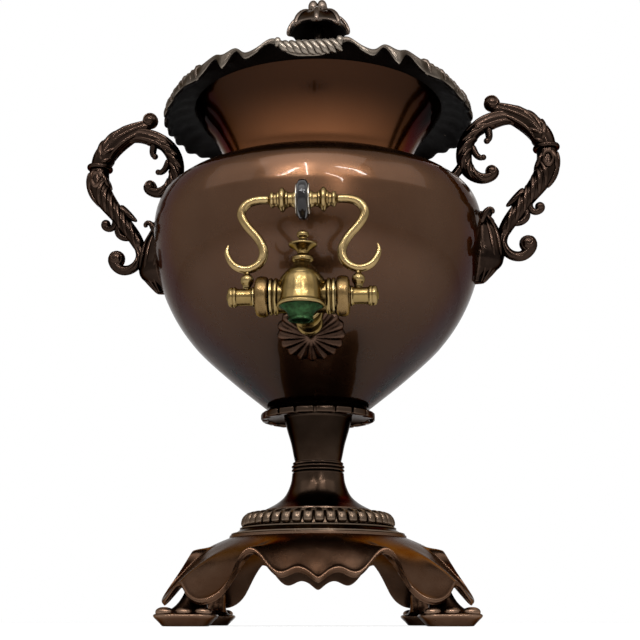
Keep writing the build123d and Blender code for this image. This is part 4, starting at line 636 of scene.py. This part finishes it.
# The leaf ribs: the bar they lie on, from and to which share of it, their lean at both ends,
# thickness.
for face in (-1, 1):
    for line, start, end, lean0, lean1, thick in ((arch, 0.01, 0.42, 0.62, 0.55, 1.9),
            (arch, 0.03, 0.36, 0.05, 0.0, 1.5), (arch, 0.05, 0.40, -0.62, -0.7, 1.8),
            (arch, 0.14, 0.30, 0.95, 0.1, 1.7), (arch, 0.22, 0.36, 0.95, 0.0, 1.9),
            (arch, 0.30, 0.42, 0.9, -0.3, 2.0), (arch, 0.26, 0.40, -0.9, 0.1, 1.6),
            (arch, 0.36, 0.45, -0.85, -0.2, 1.8), (arch, 0.49, 0.60, 0.3, 0.95, 2.0),
            (arch, 0.50, 0.62, -0.5, -0.95, 1.8), (arch, 0.55, 0.67, -0.8, 0.75, 2.0),
            (arch, 0.60, 0.72, -0.9, 0.8, 2.1), (arch, 0.65, 0.78, -0.9, 0.8, 2.0),
            (arch, 0.71, 0.84, -0.9, 0.75, 1.9), (arch, 0.77, 0.90, -0.85, 0.7, 1.8),
            (arch, 0.84, 0.97, -0.8, 0.5, 1.6), (arch, 0.50, 0.66, 0.85, 0.9, 1.6),
            (inner_curl, 0.04, 0.40, 0.6, 0.5, 1.6), (inner_curl, 0.06, 0.36, -0.45, -0.6, 1.5),
            (inner_curl, 0.18, 0.34, 0.95, -0.2, 1.6), (inner_curl, 0.26, 0.42, 0.95, -0.5, 1.7),
            (inner_curl, 0.34, 0.50, 0.95, -0.7, 1.7), (inner_curl, 0.42, 0.58, 0.95, -0.7, 1.7),
            (inner_curl, 0.50, 0.66, 0.95, -0.6, 1.6), (inner_curl, 0.58, 0.74, 0.9, -0.4, 1.5),
            (inner_curl, 0.66, 0.88, 0.5, 0.0, 1.3), (lower_curl, 0.02, 0.40, 0.7, -0.4, 1.2),
            (lower_curl, 0.2, 0.62, 0.5, -0.2, 1.1), (lower_curl, 0.42, 0.8, 0.3, 0.0, 1.1)):
        bars.append(cast_bar("scroll_rib", on_bar(line, start, end, lean0, lean1, thick, face),
            sides=6))
    eye = turned("scroll_eye", [(2.2, 0.0), (2.6, 1.0), (3.3, 1.3), (4.0, 1.0), (4.3, 0.0),
        (3.3, -0.6), (2.2, 0.0)], steps=20, lay=(90, 0, 0))
    open_mesh()
    bpy.ops.transform.resize(value=(0.95, 1.3, 1.55))
    bpy.ops.object.mode_set(mode="OBJECT")
    eye.location = (0.1582, 0.0070 * face, 0.3080)
    settle()
    bars.append(eye)
handle = joined("handle_scrolls_right", bars, handle_turn)
finish_piece(handle, bronze_handle, "urn", "handle_right", "handle_rivets_right")
handle_twin = copied(handle, "handle_scrolls_left", 180)
finish_piece(handle_twin, bronze_handle, "urn", "handle_left", "handle_rivets_left")


# ---- Handle plates ----
# A cast bronze leaf is riveted to the bowl under each handle. Ribs spread over it from its point,
# and a small curl stands out at each side where it meets the handle.
def dress(material, *names):
    """The CAD nodes with these names are shown as they are, in this material."""
    for name in names:
        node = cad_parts[name]
        node.data.materials.clear()
        node.data.materials.append(material)


dress(bronze_handle, "handle_plate_right", "handle_plate_left")
plate_out, plate_foot, plate_height = 104.3, 223.5, 52.5
# Up the plate in shares of its height: how far it stands out, half its width.
leaf_heights = [(0.0, 0.02, 0.2), (0.08, 0.28, 0.42), (0.15, 0.53, 0.62), (0.26, 0.84, 0.86),
    (0.36, 1.0, 1.0), (0.5, 0.93, 0.93), (0.66, 0.85, 0.8), (0.83, 0.5, 0.58), (0.95, 0.31, 0.36)]
for side, turn in (("right", handle_turn), ("left", handle_turn + 180)):
    ribs = []
    for lean, thick in ((-72, 1.9), (-46, 2.0), (-22, 1.9), (0, 2.4), (22, 1.9), (46, 2.0),
            (72, 1.9)):
        line = []
        for height, out, half in leaf_heights:
            fan = math.radians(lean * (0.55 + 0.45 * min(height / 0.4, 1.0)))
            taper = min(1.0, 0.35 + 1.6 * height, 0.5 + 1.5 * (1 - height))
            line.append((plate_out + (8.0 + out * 13.7) * math.cos(fan) - 0.5,
                plate_foot + plate_height * height, max(thick * taper, 0.5),
                13.5 * half * math.sin(fan) * 0.96))
        ribs.append(cast_bar("leaf_rib", line))
    for way in (-1, 1):
        ribs.append(cast_bar("leaf_curl", [(110.5, 262.0, 2.6, 9.0 * way),
            (113.0, 267.0, 2.6, 10.5 * way), (115.4, 271.2, 2.5, 11.0 * way),
            (118.4, 272.6, 2.3, 11.2 * way), (120.0, 270.6, 2.2, 11.2 * way),
            (119.0, 268.6, 1.6, 11.0 * way)]))
    leaf_ribs = joined(f"plate_ribs_{side}", ribs, turn)
    finish_piece(leaf_ribs, bronze_handle, "urn")


# ---- Rosette ----
# A cast bronze shell with seventeen flutes is set against the bowl's flank round the tap's tail.
# Its scalloped edge and the backs of its flutes are pale, partly rubbed wear and partly a painted
# highlight.
bronze_shell = patina("bronze_shell", (0.014, 0.0075, 0.005), (0.12, 0.07, 0.048), 0.27, 40,
    edge=0.7, pits=0.1)
flutes, shell_lean, shell_at = 17, 136.8, (0, -0.0754, 0.1747)
rings = []
for station in range(6 * flutes):
    spin = math.radians(360 * station / (6 * flutes))
    wave = 0.5 + 0.5 * math.cos(math.radians(60 * (station % 6)))
    outline = ((0.6, -3.4), (0.6, 5.2), (7.5, 4.4 - 0.3 * (1 - wave)), (11.0, 3.2 + 1.0 * wave),
        (15.0, 2.0 + 2.0 * wave), (18.4 + 0.5 * wave, 1.0 + 1.9 * wave),
        (19.6 + 1.5 * wave, 0.2 + 0.9 * wave), (19.8 + 1.6 * wave, -1.2), (19.0 + 1.4 * wave, -3.4))
    rings.append([(r * math.sin(spin), -r * math.cos(spin), z) for r, z in outline])
shell = cast_skin("rosette_shell", rings, 1)
shell.rotation_euler = (math.radians(shell_lean), 0, 0)
shell.location = shell_at
settle()
finish_piece(shell, bronze_shell, "urn", "tap_rosette")


# ---- Tap tail ----
# The brass tail is turned with rings along it and carries the tap out from the bowl. Its threaded
# end goes through the bowl's wall, a tinned washer and a brass nut inside.
tap_brass = patina("tap_brass", (0.105, 0.067, 0.022), (0.43, 0.33, 0.165), 0.22, 60, edge=0.5,
    pits=0.1)
tap_z, tail_y, barrel_y, spout_y = 178.0, -138.5, -150.0, -163.0
tail = turned("tail_turned", [(3.8, 88.4), (3.8, 0.0), (10.0, 0.0), (10.3, 0.3), (10.3, 1.9),
    (9.2, 2.5)] + bowed([(8.9, 3.0), (9.9, 4.6), (9.9, 6.6), (8.7, 8.2)], 3)
    + bowed([(8.4, 8.8), (7.9, 14.0), (7.9, 20.0), (8.2, 24.0)], 3)
    + bowed([(8.5, 24.6), (9.0, 25.6), (9.0, 27.0), (8.4, 28.0)], 2)
    + bowed([(7.9, 28.4), (7.2, 34.0), (7.0, 42.0), (7.1, 46.0)], 3)
    + bowed([(7.5, 46.4), (8.1, 47.6), (8.1, 49.4), (7.4, 50.6)], 2)
    + [(6.5, 51.0), (6.4, 64.0), (5.4, 66.0), (5.4, 88.4), (3.8, 88.4)], steps=48,
    place=(0, tail_y, tap_z), lay=(-90, 0, 0), crisp=40)
finish_piece(tail, tap_brass, "urn", "tap_tail")
tinned_copper = patina("tinned_copper", (0.42, 0.40, 0.37), (0.62, 0.60, 0.57), 0.34, 50,
    metal=0.95, pits=0.1)
dress(tap_brass, "tap_locknut")
dress(tinned_copper, "tap_washer")


# ---- Tap body ----
# One brass casting: a barrel for the plug, a hood that sweeps up to the finial, and the spout's
# bell in front with a rolled lip. Flanges are turned at both ends of the barrel.
half_barrel = [(7.45, 18.4), (9.9, 18.4), (10.4, 18.0), (10.4, 17.0), (9.9, 16.5), (9.4, 16.3),
    (9.5, 15.9)] + bowed([(9.8, 15.7), (10.4, 15.2), (10.4, 14.2), (9.8, 13.5)], 2) + [(9.3, 13.2)]
barrel = turned("tap_barrel", half_barrel + [(r, -x) for r, x in reversed(half_barrel)]
    + [(7.45, 18.4)], steps=56, place=(0, barrel_y, tap_z), lay=(0, 90, 0), crisp=40)
bell = turned("tap_bell", bowed([(0.0, 190.6), (3.6, 190.2), (7.4, 188.2), (9.7, 184.6),
    (10.6, 180.0), (11.1, 175.6), (12.0, 171.6)], 3)
    + bowed([(12.5, 171.2), (13.2, 170.4), (13.2, 169.5), (12.6, 169.0)], 2)
    + [(11.6, 169.0), (11.0, 169.6), (7.6, 171.4), (5.3, 172.2), (5.3, 178.0), (0.0, 178.0)],
    steps=56, place=(0, spout_y, 0), crisp=50)
# The hood's rings from the barrel up: height, half width, reach to the back and to the front.
hood_outer = []
for height, wide, back, front in ((181.0, 14.6, 9.0, 21.0), (184.0, 14.4, 8.8, 22.6),
        (186.6, 13.0, 8.2, 22.2), (189.0, 10.9, 7.4, 20.4), (191.6, 8.7, 6.6, 16.8),
        (194.2, 6.7, 5.7, 11.8), (196.4, 5.1, 5.0, 6.8), (197.5, 4.9, 4.9, 5.4)):
    ring = []
    for point in range(28):
        spin = 2 * math.pi * point / 28
        ring.append((wide * math.sin(spin),
            barrel_y - (front if math.cos(spin) > 0 else back) * math.cos(spin), height))
    hood_outer.append(ring)
vent = 1.6
hood_inner = [[(vent * math.sin(2 * math.pi * point / 28),
    barrel_y - vent * math.cos(2 * math.pi * point / 28), height) for point in range(28)]
    for height in (197.4, 190.0, 181.2)]
hood = cast_skin("tap_hood", hood_outer + hood_inner, 1)
finish_piece(joined("tap_casting", [barrel, bell, hood]), tap_brass, "urn", "tap_body")


# ---- Nozzle and tap finial ----
# The nozzle is a short waisted brass cone under the bell, green with verdigris where tea has dried.
# The finial is turned brass: a bead, a dished cap and a small knob, screwed into the hood.
verdigris = patina("tap_verdigris", (0.007, 0.011, 0.004), (0.07, 0.22, 0.08), 0.24, 420,
    metal=0.9, pits=0.3)
nozzle = turned("nozzle_cone", [(4.9, 168.9), (4.9, 161.0), (5.2, 160.8), (6.5, 160.8),
    (6.9, 161.1), (6.9, 161.9), (6.5, 162.4)] + bowed([(6.6, 163.0), (7.4, 165.2), (9.2, 167.2),
    (11.9, 168.8)], 3) + [(4.9, 168.9)], steps=48, place=(0, spout_y, 0), crisp=50)
finish_piece(nozzle, verdigris, "urn", "tap_nozzle")
finial_point = turned("tap_finial_knob", [(0.0, -6.0), (1.7, -6.0), (1.7, 0.0), (4.9, 0.0)]
    + bowed([(5.0, 0.2), (5.9, 1.2), (5.9, 2.6), (4.9, 3.8)], 3)
    + bowed([(4.4, 4.0), (3.2, 4.8), (3.1, 6.2), (4.6, 7.9), (7.3, 9.6)], 3)
    + bowed([(7.8, 9.9), (8.1, 10.5), (7.8, 11.0)], 2)
    + bowed([(7.2, 11.3), (4.4, 12.0), (2.6, 13.2), (2.1, 14.4)], 3)
    + bowed([(2.2, 14.6), (3.2, 15.4), (3.4, 16.6), (2.8, 17.9), (1.4, 18.8), (0.0, 19.0)], 3)
    + [(0.0, -6.0)], steps=40, place=(0, barrel_y, 197.5), crisp=50)
finish_piece(finial_point, tap_brass, "urn", "tap_finial")


# ---- Plug, discs and spindles ----
# The plug turns in the barrel between two rounded brass discs. A beaded spindle is screwed into
# each end, and a ball stands on it to carry the bail.
disc_bronze = patina("disc_bronze", (0.085, 0.052, 0.020), (0.30, 0.20, 0.095), 0.27, 60, edge=0.6,
    pits=0.1)
plug = turned("plug_cone", [(3.65, 18.6), (7.4, 18.6), (7.4, -18.6), (3.65, -18.6), (3.65, -13.3),
    (0.0, -13.3), (0.0, 13.3), (3.65, 13.3), (3.65, 18.6)], steps=40, place=(0, barrel_y, tap_z),
    lay=(0, 90, 0))
finish_piece(plug, tap_brass, "tap_plug", "tap_plug")
ball_out, ball_z, ball_r = 31.0, 187.6, 3.7
for side, way in (("right", 1), ("left", -1)):
    disc = turned(f"disc_{side}", [(3.7, 18.8), (7.4, 18.8)]
        + bowed([(8.6, 18.8), (10.6, 19.3), (11.4, 21.0), (11.4, 23.8), (10.6, 25.5), (8.8, 26.2)],
        3) + [(7.4, 26.2), (7.0, 25.7), (6.4, 25.7), (6.1, 26.3), (3.7, 26.3), (3.7, 18.8)],
        steps=56, place=(0, barrel_y, tap_z), lay=(0, 90 * way, 0), crisp=50)
    finish_piece(disc, disc_bronze, "tap_plug", f"plug_disc_{side}")
    spindle = turned(f"spindle_turned_{side}", [(0.0, 13.4), (3.6, 13.4), (3.6, 26.35),
        (5.4, 26.35), (5.7, 26.7), (5.7, 27.6), (5.1, 28.1)]
        + bowed([(4.8, 28.4), (4.6, 32.4), (4.8, 36.4)], 3)
        + bowed([(5.2, 36.8), (5.7, 37.4), (5.7, 38.0), (5.3, 38.5)], 2)
        + bowed([(5.3, 38.8), (5.6, 39.6), (5.0, 41.0), (3.4, 41.7)], 3)
        + bowed([(2.6, 41.7), (2.1, 42.1), (1.0, 42.3), (0.0, 42.3)], 2)
        + [(0.0, 13.4)], steps=40, place=(0, barrel_y, tap_z), lay=(0, 90 * way, 0), crisp=50)
    finish_piece(spindle, tap_brass, "tap_plug", f"spindle_{side}")
    ball = turned(f"ball_{side}", [(0.0, -7.6), (1.5, -7.6), (1.5, -4.4), (2.4, -4.3), (2.4, -3.5)]
        + [(ball_r * math.sin(math.radians(15 * s)), -ball_r * math.cos(math.radians(15 * s)))
        for s in range(3, 11)] + [(1.5, 3.6), (1.5, 6.8), (0.0, 6.8), (0.0, -7.6)], steps=28,
        place=(ball_out * way, barrel_y, ball_z), crisp=60)
    finish_piece(ball, tap_brass, "tap_plug", f"bail_ball_{side}")


# ---- Bail ----
# The bail is two brass rods bent to an S, each hooked to a point over its ball. Between them is the
# grip: two turned lengths with a black disc in the middle, held by a bright washer on each face.
grip_z = 234.8
# One rod from its hooked tip to the grip: aside, above the plug's axis, half thickness.
arm_line = [(41.8, 30.6, 0.5), (42.7, 25.4, 1.6), (38.6, 18.4, 2.2), (31.0, 15.9, 2.5),
    (24.0, 19.4, 2.7), (21.8, 26.6, 2.7), (25.2, 34.2, 2.6), (31.4, 41.4, 2.6), (35.0, 48.4, 2.7),
    (32.0, 54.4, 2.7), (25.6, 56.8, 2.6), (19.0, 56.8, 2.5)]
bail_brass = patina("bail_brass", (0.155, 0.104, 0.044), (0.43, 0.33, 0.17), 0.22, 60, edge=0.35,
    pits=0.1)
for side, way in (("right", 1), ("left", -1)):
    arm = cast_bar(f"bail_rod_{side}", [(way * x, tap_z + h, half, barrel_y)
        for x, h, half in bowed(arm_line, 3)], sides=12)
    finish_piece(arm, bail_brass, "tap_plug", f"bail_arm_{side}")
    grip = turned(f"grip_turned_{side}", [(0.0, 0.1), (2.0, 0.1), (2.0, 3.95), (5.0, 3.95),
        (5.1, 4.4), (4.8, 5.1)] + bowed([(4.3, 5.6), (4.0, 7.0), (4.4, 8.6)], 2)
        + [(5.0, 8.9), (5.0, 9.5)] + bowed([(5.4, 9.8), (6.9, 11.0), (6.9, 12.4), (5.4, 13.4)], 3)
        + [(4.9, 13.6), (4.9, 14.2)] + bowed([(4.2, 14.5), (3.7, 15.6), (3.8, 16.4)], 2)
        + bowed([(4.2, 16.6), (4.7, 17.3), (4.4, 18.2), (3.2, 18.8)], 2)
        + [(2.8, 19.2), (0.0, 19.2), (0.0, 0.1)], steps=40, place=(0, barrel_y, grip_z),
        lay=(0, 90 * way, 0), crisp=50)
    finish_piece(grip, bail_brass, "tap_plug", f"grip_{side}")
black_disc = patina("black_disc", (0.004, 0.003, 0.003), (0.012, 0.010, 0.009), 0.10, 70,
    metal=0.0, coat=0.15)
washer_steel = patina("washer_steel", (0.20, 0.18, 0.15), (0.55, 0.50, 0.42), 0.22, 90, edge=0.4)
knob = turned("grip_black_disc", [(2.05, -3.1), (9.0, -3.1)]
    + bowed([(10.2, -3.0), (11.4, -2.1), (11.8, -0.8), (11.8, 0.8), (11.4, 2.1), (10.2, 3.0)], 3)
    + [(9.0, 3.1), (2.05, 3.1), (2.05, -3.1)], steps=56, place=(0, barrel_y, grip_z),
    lay=(0, 90, 0), crisp=50)
finish_piece(knob, black_disc, "tap_plug", "grip_disc")
washers = []
for way in (1, -1):
    washers.append(turned("washer", [(2.05, 3.1), (9.2, 3.1), (9.44, 3.3), (9.44, 3.6), (9.2, 3.9),
        (2.05, 3.9), (2.05, 3.1)], steps=48, place=(0, barrel_y, grip_z), lay=(0, 90 * way, 0)))
finish_piece(joined("grip_washer_pair", washers), washer_steel, "tap_plug", "grip_washers")


# ---- Bowl and neck ----
# The bowl is raised from sheet copper, bronzed dark and polished, with a flat floor over the stem
# and a shoulder that turns in sharply; painted shade darkens it towards the bottom. The neck flares
# from it to the rim, with a painted reflection of the shoulder's highlights in its colour and
# painted shade towards its top. A soldered bead joins them, painted pale as a highlight.
# Painted shade darkens the bowl's colour towards the bottom.
copper_body = patina("copper_body", (0.050, 0.0215, 0.0095), (0.155, 0.088, 0.052), 0.26, 8,
    coat=0.18, painted_shade=(0.150, 0.262, 0.76))
# The neck's bright colour is a painted reflection of the shoulder's highlights, and painted shade
# darkens it towards the top.
copper_neck = patina("copper_neck", (0.105, 0.038, 0.014), (0.20, 0.085, 0.040), 0.16, 11,
    coat=0.05, painted_shade=(0.343, 0.296, 0.97))
sheet = 1.2
widest_z, flank_r, flank_in = 260, 117, -4.7
arcs = [math.radians(a) for a in (-47.2, -40, -32, -24, -16, -8)]
flank = [(flank_in + flank_r * math.cos(a), widest_z + flank_r * math.sin(a)) for a in arcs]
bowl_line = bowed([(34.0, 140.0), (54.8, 156.6)] + flank
    + [(112.3, widest_z), (112.2, 266), (111.0, 274), (107.5, 282.5), (101, 289.0), (92, 294.0),
    (82, 298.0), (72, 301.2), (60, 304)], 4)
inside = []
for r, z in reversed(bowl_line):
    inner_r = max(r - sheet * (1 if z < 285 else 0.3), 3)
    inside.append((inner_r, z + (0.6 * sheet if z < 200 else -sheet if z > 285 else 0)))
bowl = turned("bowl_raised", [(2.0, 140.0)] + bowl_line + inside
    + [(2.0, 141.0), (2.0, 140.0)], steps=160, crisp=40)
finish_piece(bowl, copper_body, "urn", "bowl")
neck_line = bowed([(60.4, 303.0), (63.0, 314.0), (72.0, 331.0), (81.0, 343.0), (87.0, 352.0)], 5)
neck = turned("neck_flared", neck_line + [(r - sheet, z) for r, z in reversed(neck_line)]
    + [neck_line[0]], steps=160, crisp=40)
finish_piece(neck, copper_neck, "urn", "neck")
arcs = [math.radians(a) for a in range(0, 361, 30)]
bead = turned("solder_bead", [(65.6 + 1.4 * math.cos(a), 303.5 + 1.3 * math.sin(a)) for a in arcs],
    steps=120)
# The bead is painted pale as a highlight along the seam.
solder_painted_highlight = patina("solder_painted_highlight", (0.22, 0.14, 0.095), (0.50, 0.38, 0.29), 0.22, 30, edge=0.4)
finish_piece(bead, solder_painted_highlight, "urn")


# ---- Lid ----
# The lid is a low dome of the same bronzed copper as the bowl. Its turned-down edge drops into the
# border and lifts straight out with the finial on it.
dress(copper_body, "lid")


# ---- Heater ----
# An upright tube of tinned copper stands in the water under a loose cap. A slug of cast iron is
# heated in the fire and let down into the tube by its ring.
dress(tinned_copper, "heater_tube", "heater_cap")
iron = patina("iron", (0.045, 0.04, 0.037), (0.12, 0.10, 0.09), 0.60, 90, metal=0.8, pits=0.5)
dress(iron, "iron_slug", "slug_ring")


# ---- Tie rod and screws ----
# A steel rod with a washer and a nut clamps plinth, dome, stem and collar to the bowl. Steel screws
# hold the feet, and a steel nut holds the finial under the lid.
steel = patina("steel", (0.22, 0.20, 0.18), (0.42, 0.40, 0.38), 0.40, 90, metal=0.9, pits=0.2)
dress(steel, "tie_rod", "tie_washer", "tie_nut", "foot_screws", "finial_nut")


# ---- Table, light and camera ----
# A plain white table and soft studio lamps: a broad one in front and above, weaker ones at the
# left, the right and behind, and four thin tubes. The camera looks up slightly from table height.
bpy.ops.mesh.primitive_circle_add(vertices=96, radius=4.0, fill_type="NGON", location=(0, 0, 0))
table = bpy.context.object
table.name = "table"
cloth = bpy.data.materials.new("table_white")
cloth.use_nodes = True
nodes, links = cloth.node_tree.nodes, cloth.node_tree.links
shader = nodes["Principled BSDF"]
shader.inputs["Base Color"].default_value = (0.92, 0.92, 0.92, 1)
shader.inputs["Roughness"].default_value = 0.6
glow = nodes.new("ShaderNodeEmission")
glow.inputs["Color"].default_value = (1, 1, 1, 1)
path = nodes.new("ShaderNodeLightPath")
share = nodes.new("ShaderNodeMath")
share.operation = "MULTIPLY"
share.inputs[1].default_value = 0.72
links.new(path.outputs["Is Camera Ray"], share.inputs[0])
both = nodes.new("ShaderNodeMixShader")
links.new(share.outputs[0], both.inputs[0])
links.new(shader.outputs[0], both.inputs[1])
links.new(glow.outputs[0], both.inputs[2])
links.new(both.outputs[0], nodes["Material Output"].inputs["Surface"])
table.data.materials.append(cloth)

world = bpy.data.worlds.new("studio")
bpy.context.scene.world = world
world.use_nodes = True
nodes, links = world.node_tree.nodes, world.node_tree.links
light = nodes["Background"]
light.inputs["Color"].default_value = (1, 1, 1, 1)
light.inputs["Strength"].default_value = 0.85
white = nodes.new("ShaderNodeBackground")
white.inputs["Color"].default_value = (1, 1, 1, 1)
white.inputs["Strength"].default_value = 1.0
path = nodes.new("ShaderNodeLightPath")
seen = nodes.new("ShaderNodeMath")
seen.operation = "MAXIMUM"
links.new(path.outputs["Is Camera Ray"], seen.inputs[0])
links.new(path.outputs["Is Transmission Ray"], seen.inputs[1])
shown = nodes.new("ShaderNodeMath")
shown.operation = "MAXIMUM"
links.new(seen.outputs[0], shown.inputs[0])
links.new(path.outputs["Is Glossy Ray"], shown.inputs[1])
mix = nodes.new("ShaderNodeMixShader")
links.new(shown.outputs[0], mix.inputs[0])
links.new(light.outputs[0], mix.inputs[1])
links.new(white.outputs[0], mix.inputs[2])
links.new(mix.outputs[0], nodes["World Output"].inputs["Surface"])

aim_z, lamp_away, tube_away = 0.27, 1.45, 1.4


def round_about(aside, up, away):
    """A point so many degrees aside and up from the urn's front, and so many metres away."""
    flat = away * math.cos(math.radians(up))
    return Vector((flat * math.sin(math.radians(aside)), -flat * math.cos(math.radians(aside)),
                   aim_z + away * math.sin(math.radians(up))))


def soft_lamp(name, place, wide, high, power, facing):
    """A rectangular lamp (metres, watts) that lights the urn but isn't seen itself."""
    bpy.ops.object.light_add(type="AREA", location=place)
    lamp = bpy.context.object
    lamp.name = name
    lamp.data.shape = "RECTANGLE"
    lamp.data.size, lamp.data.size_y, lamp.data.energy = wide, high, power
    lamp.rotation_euler = facing.to_euler()
    lamp.visible_camera = False


for name, aside, up, wide, high, power in (
        ("panel", -2, 47, 1.5, 0.9, 15), ("panel_left", -60, 36, 0.9, 0.7, 2.2),
        ("panel_right", 62, 36, 0.9, 0.7, 3.0), ("panel_back", 172, 42, 1.2, 0.8, 7)):
    place = round_about(aside, up, lamp_away)
    soft_lamp(name, place, wide, high, power, (Vector((0, 0, 0.24)) - place).to_track_quat("-Z",
        "Y"))
# Lamp tubes from one direction (aside, up) to another, whose thin streaks show on the shoulder.
tubes = [((-24.2, 25.3), (-9.4, 31.0)), ((15.2, 32.7), (35.8, 27.4)), ((8.7, 27.8), (18.9, 14.4)),
         ((-5.9, 40.4), (-3.5, 23.0))]
for place, ends in enumerate(tubes):
    first, last = (round_about(aside, up, tube_away) for aside, up in ends)
    middle = 0.5 * (first + last)
    towards = (Vector((0, -0.1, aim_z)) - middle).normalized()
    along = (last - first).normalized()
    facing = Matrix((along.cross(-towards), along, -towards)).transposed()
    soft_lamp(f"tube_{place + 1}", middle, 0.016, (last - first).length, 3.6, facing)

camera_away, camera_z, tilt_up, lens = 0.805, 0.003, 13.85, 68.7
turn = math.radians(base_turn)
bpy.ops.object.camera_add(location=(camera_away * math.sin(turn), -camera_away * math.cos(turn),
    camera_z))
camera = bpy.context.object
camera.data.sensor_width = 36
camera.data.lens = lens
camera.data.clip_start = 0.01
camera.rotation_euler = (math.radians(90 + tilt_up), 0, turn - math.radians(0.09))
bpy.context.scene.camera = camera
bpy.context.scene.view_settings.view_transform = "Standard"
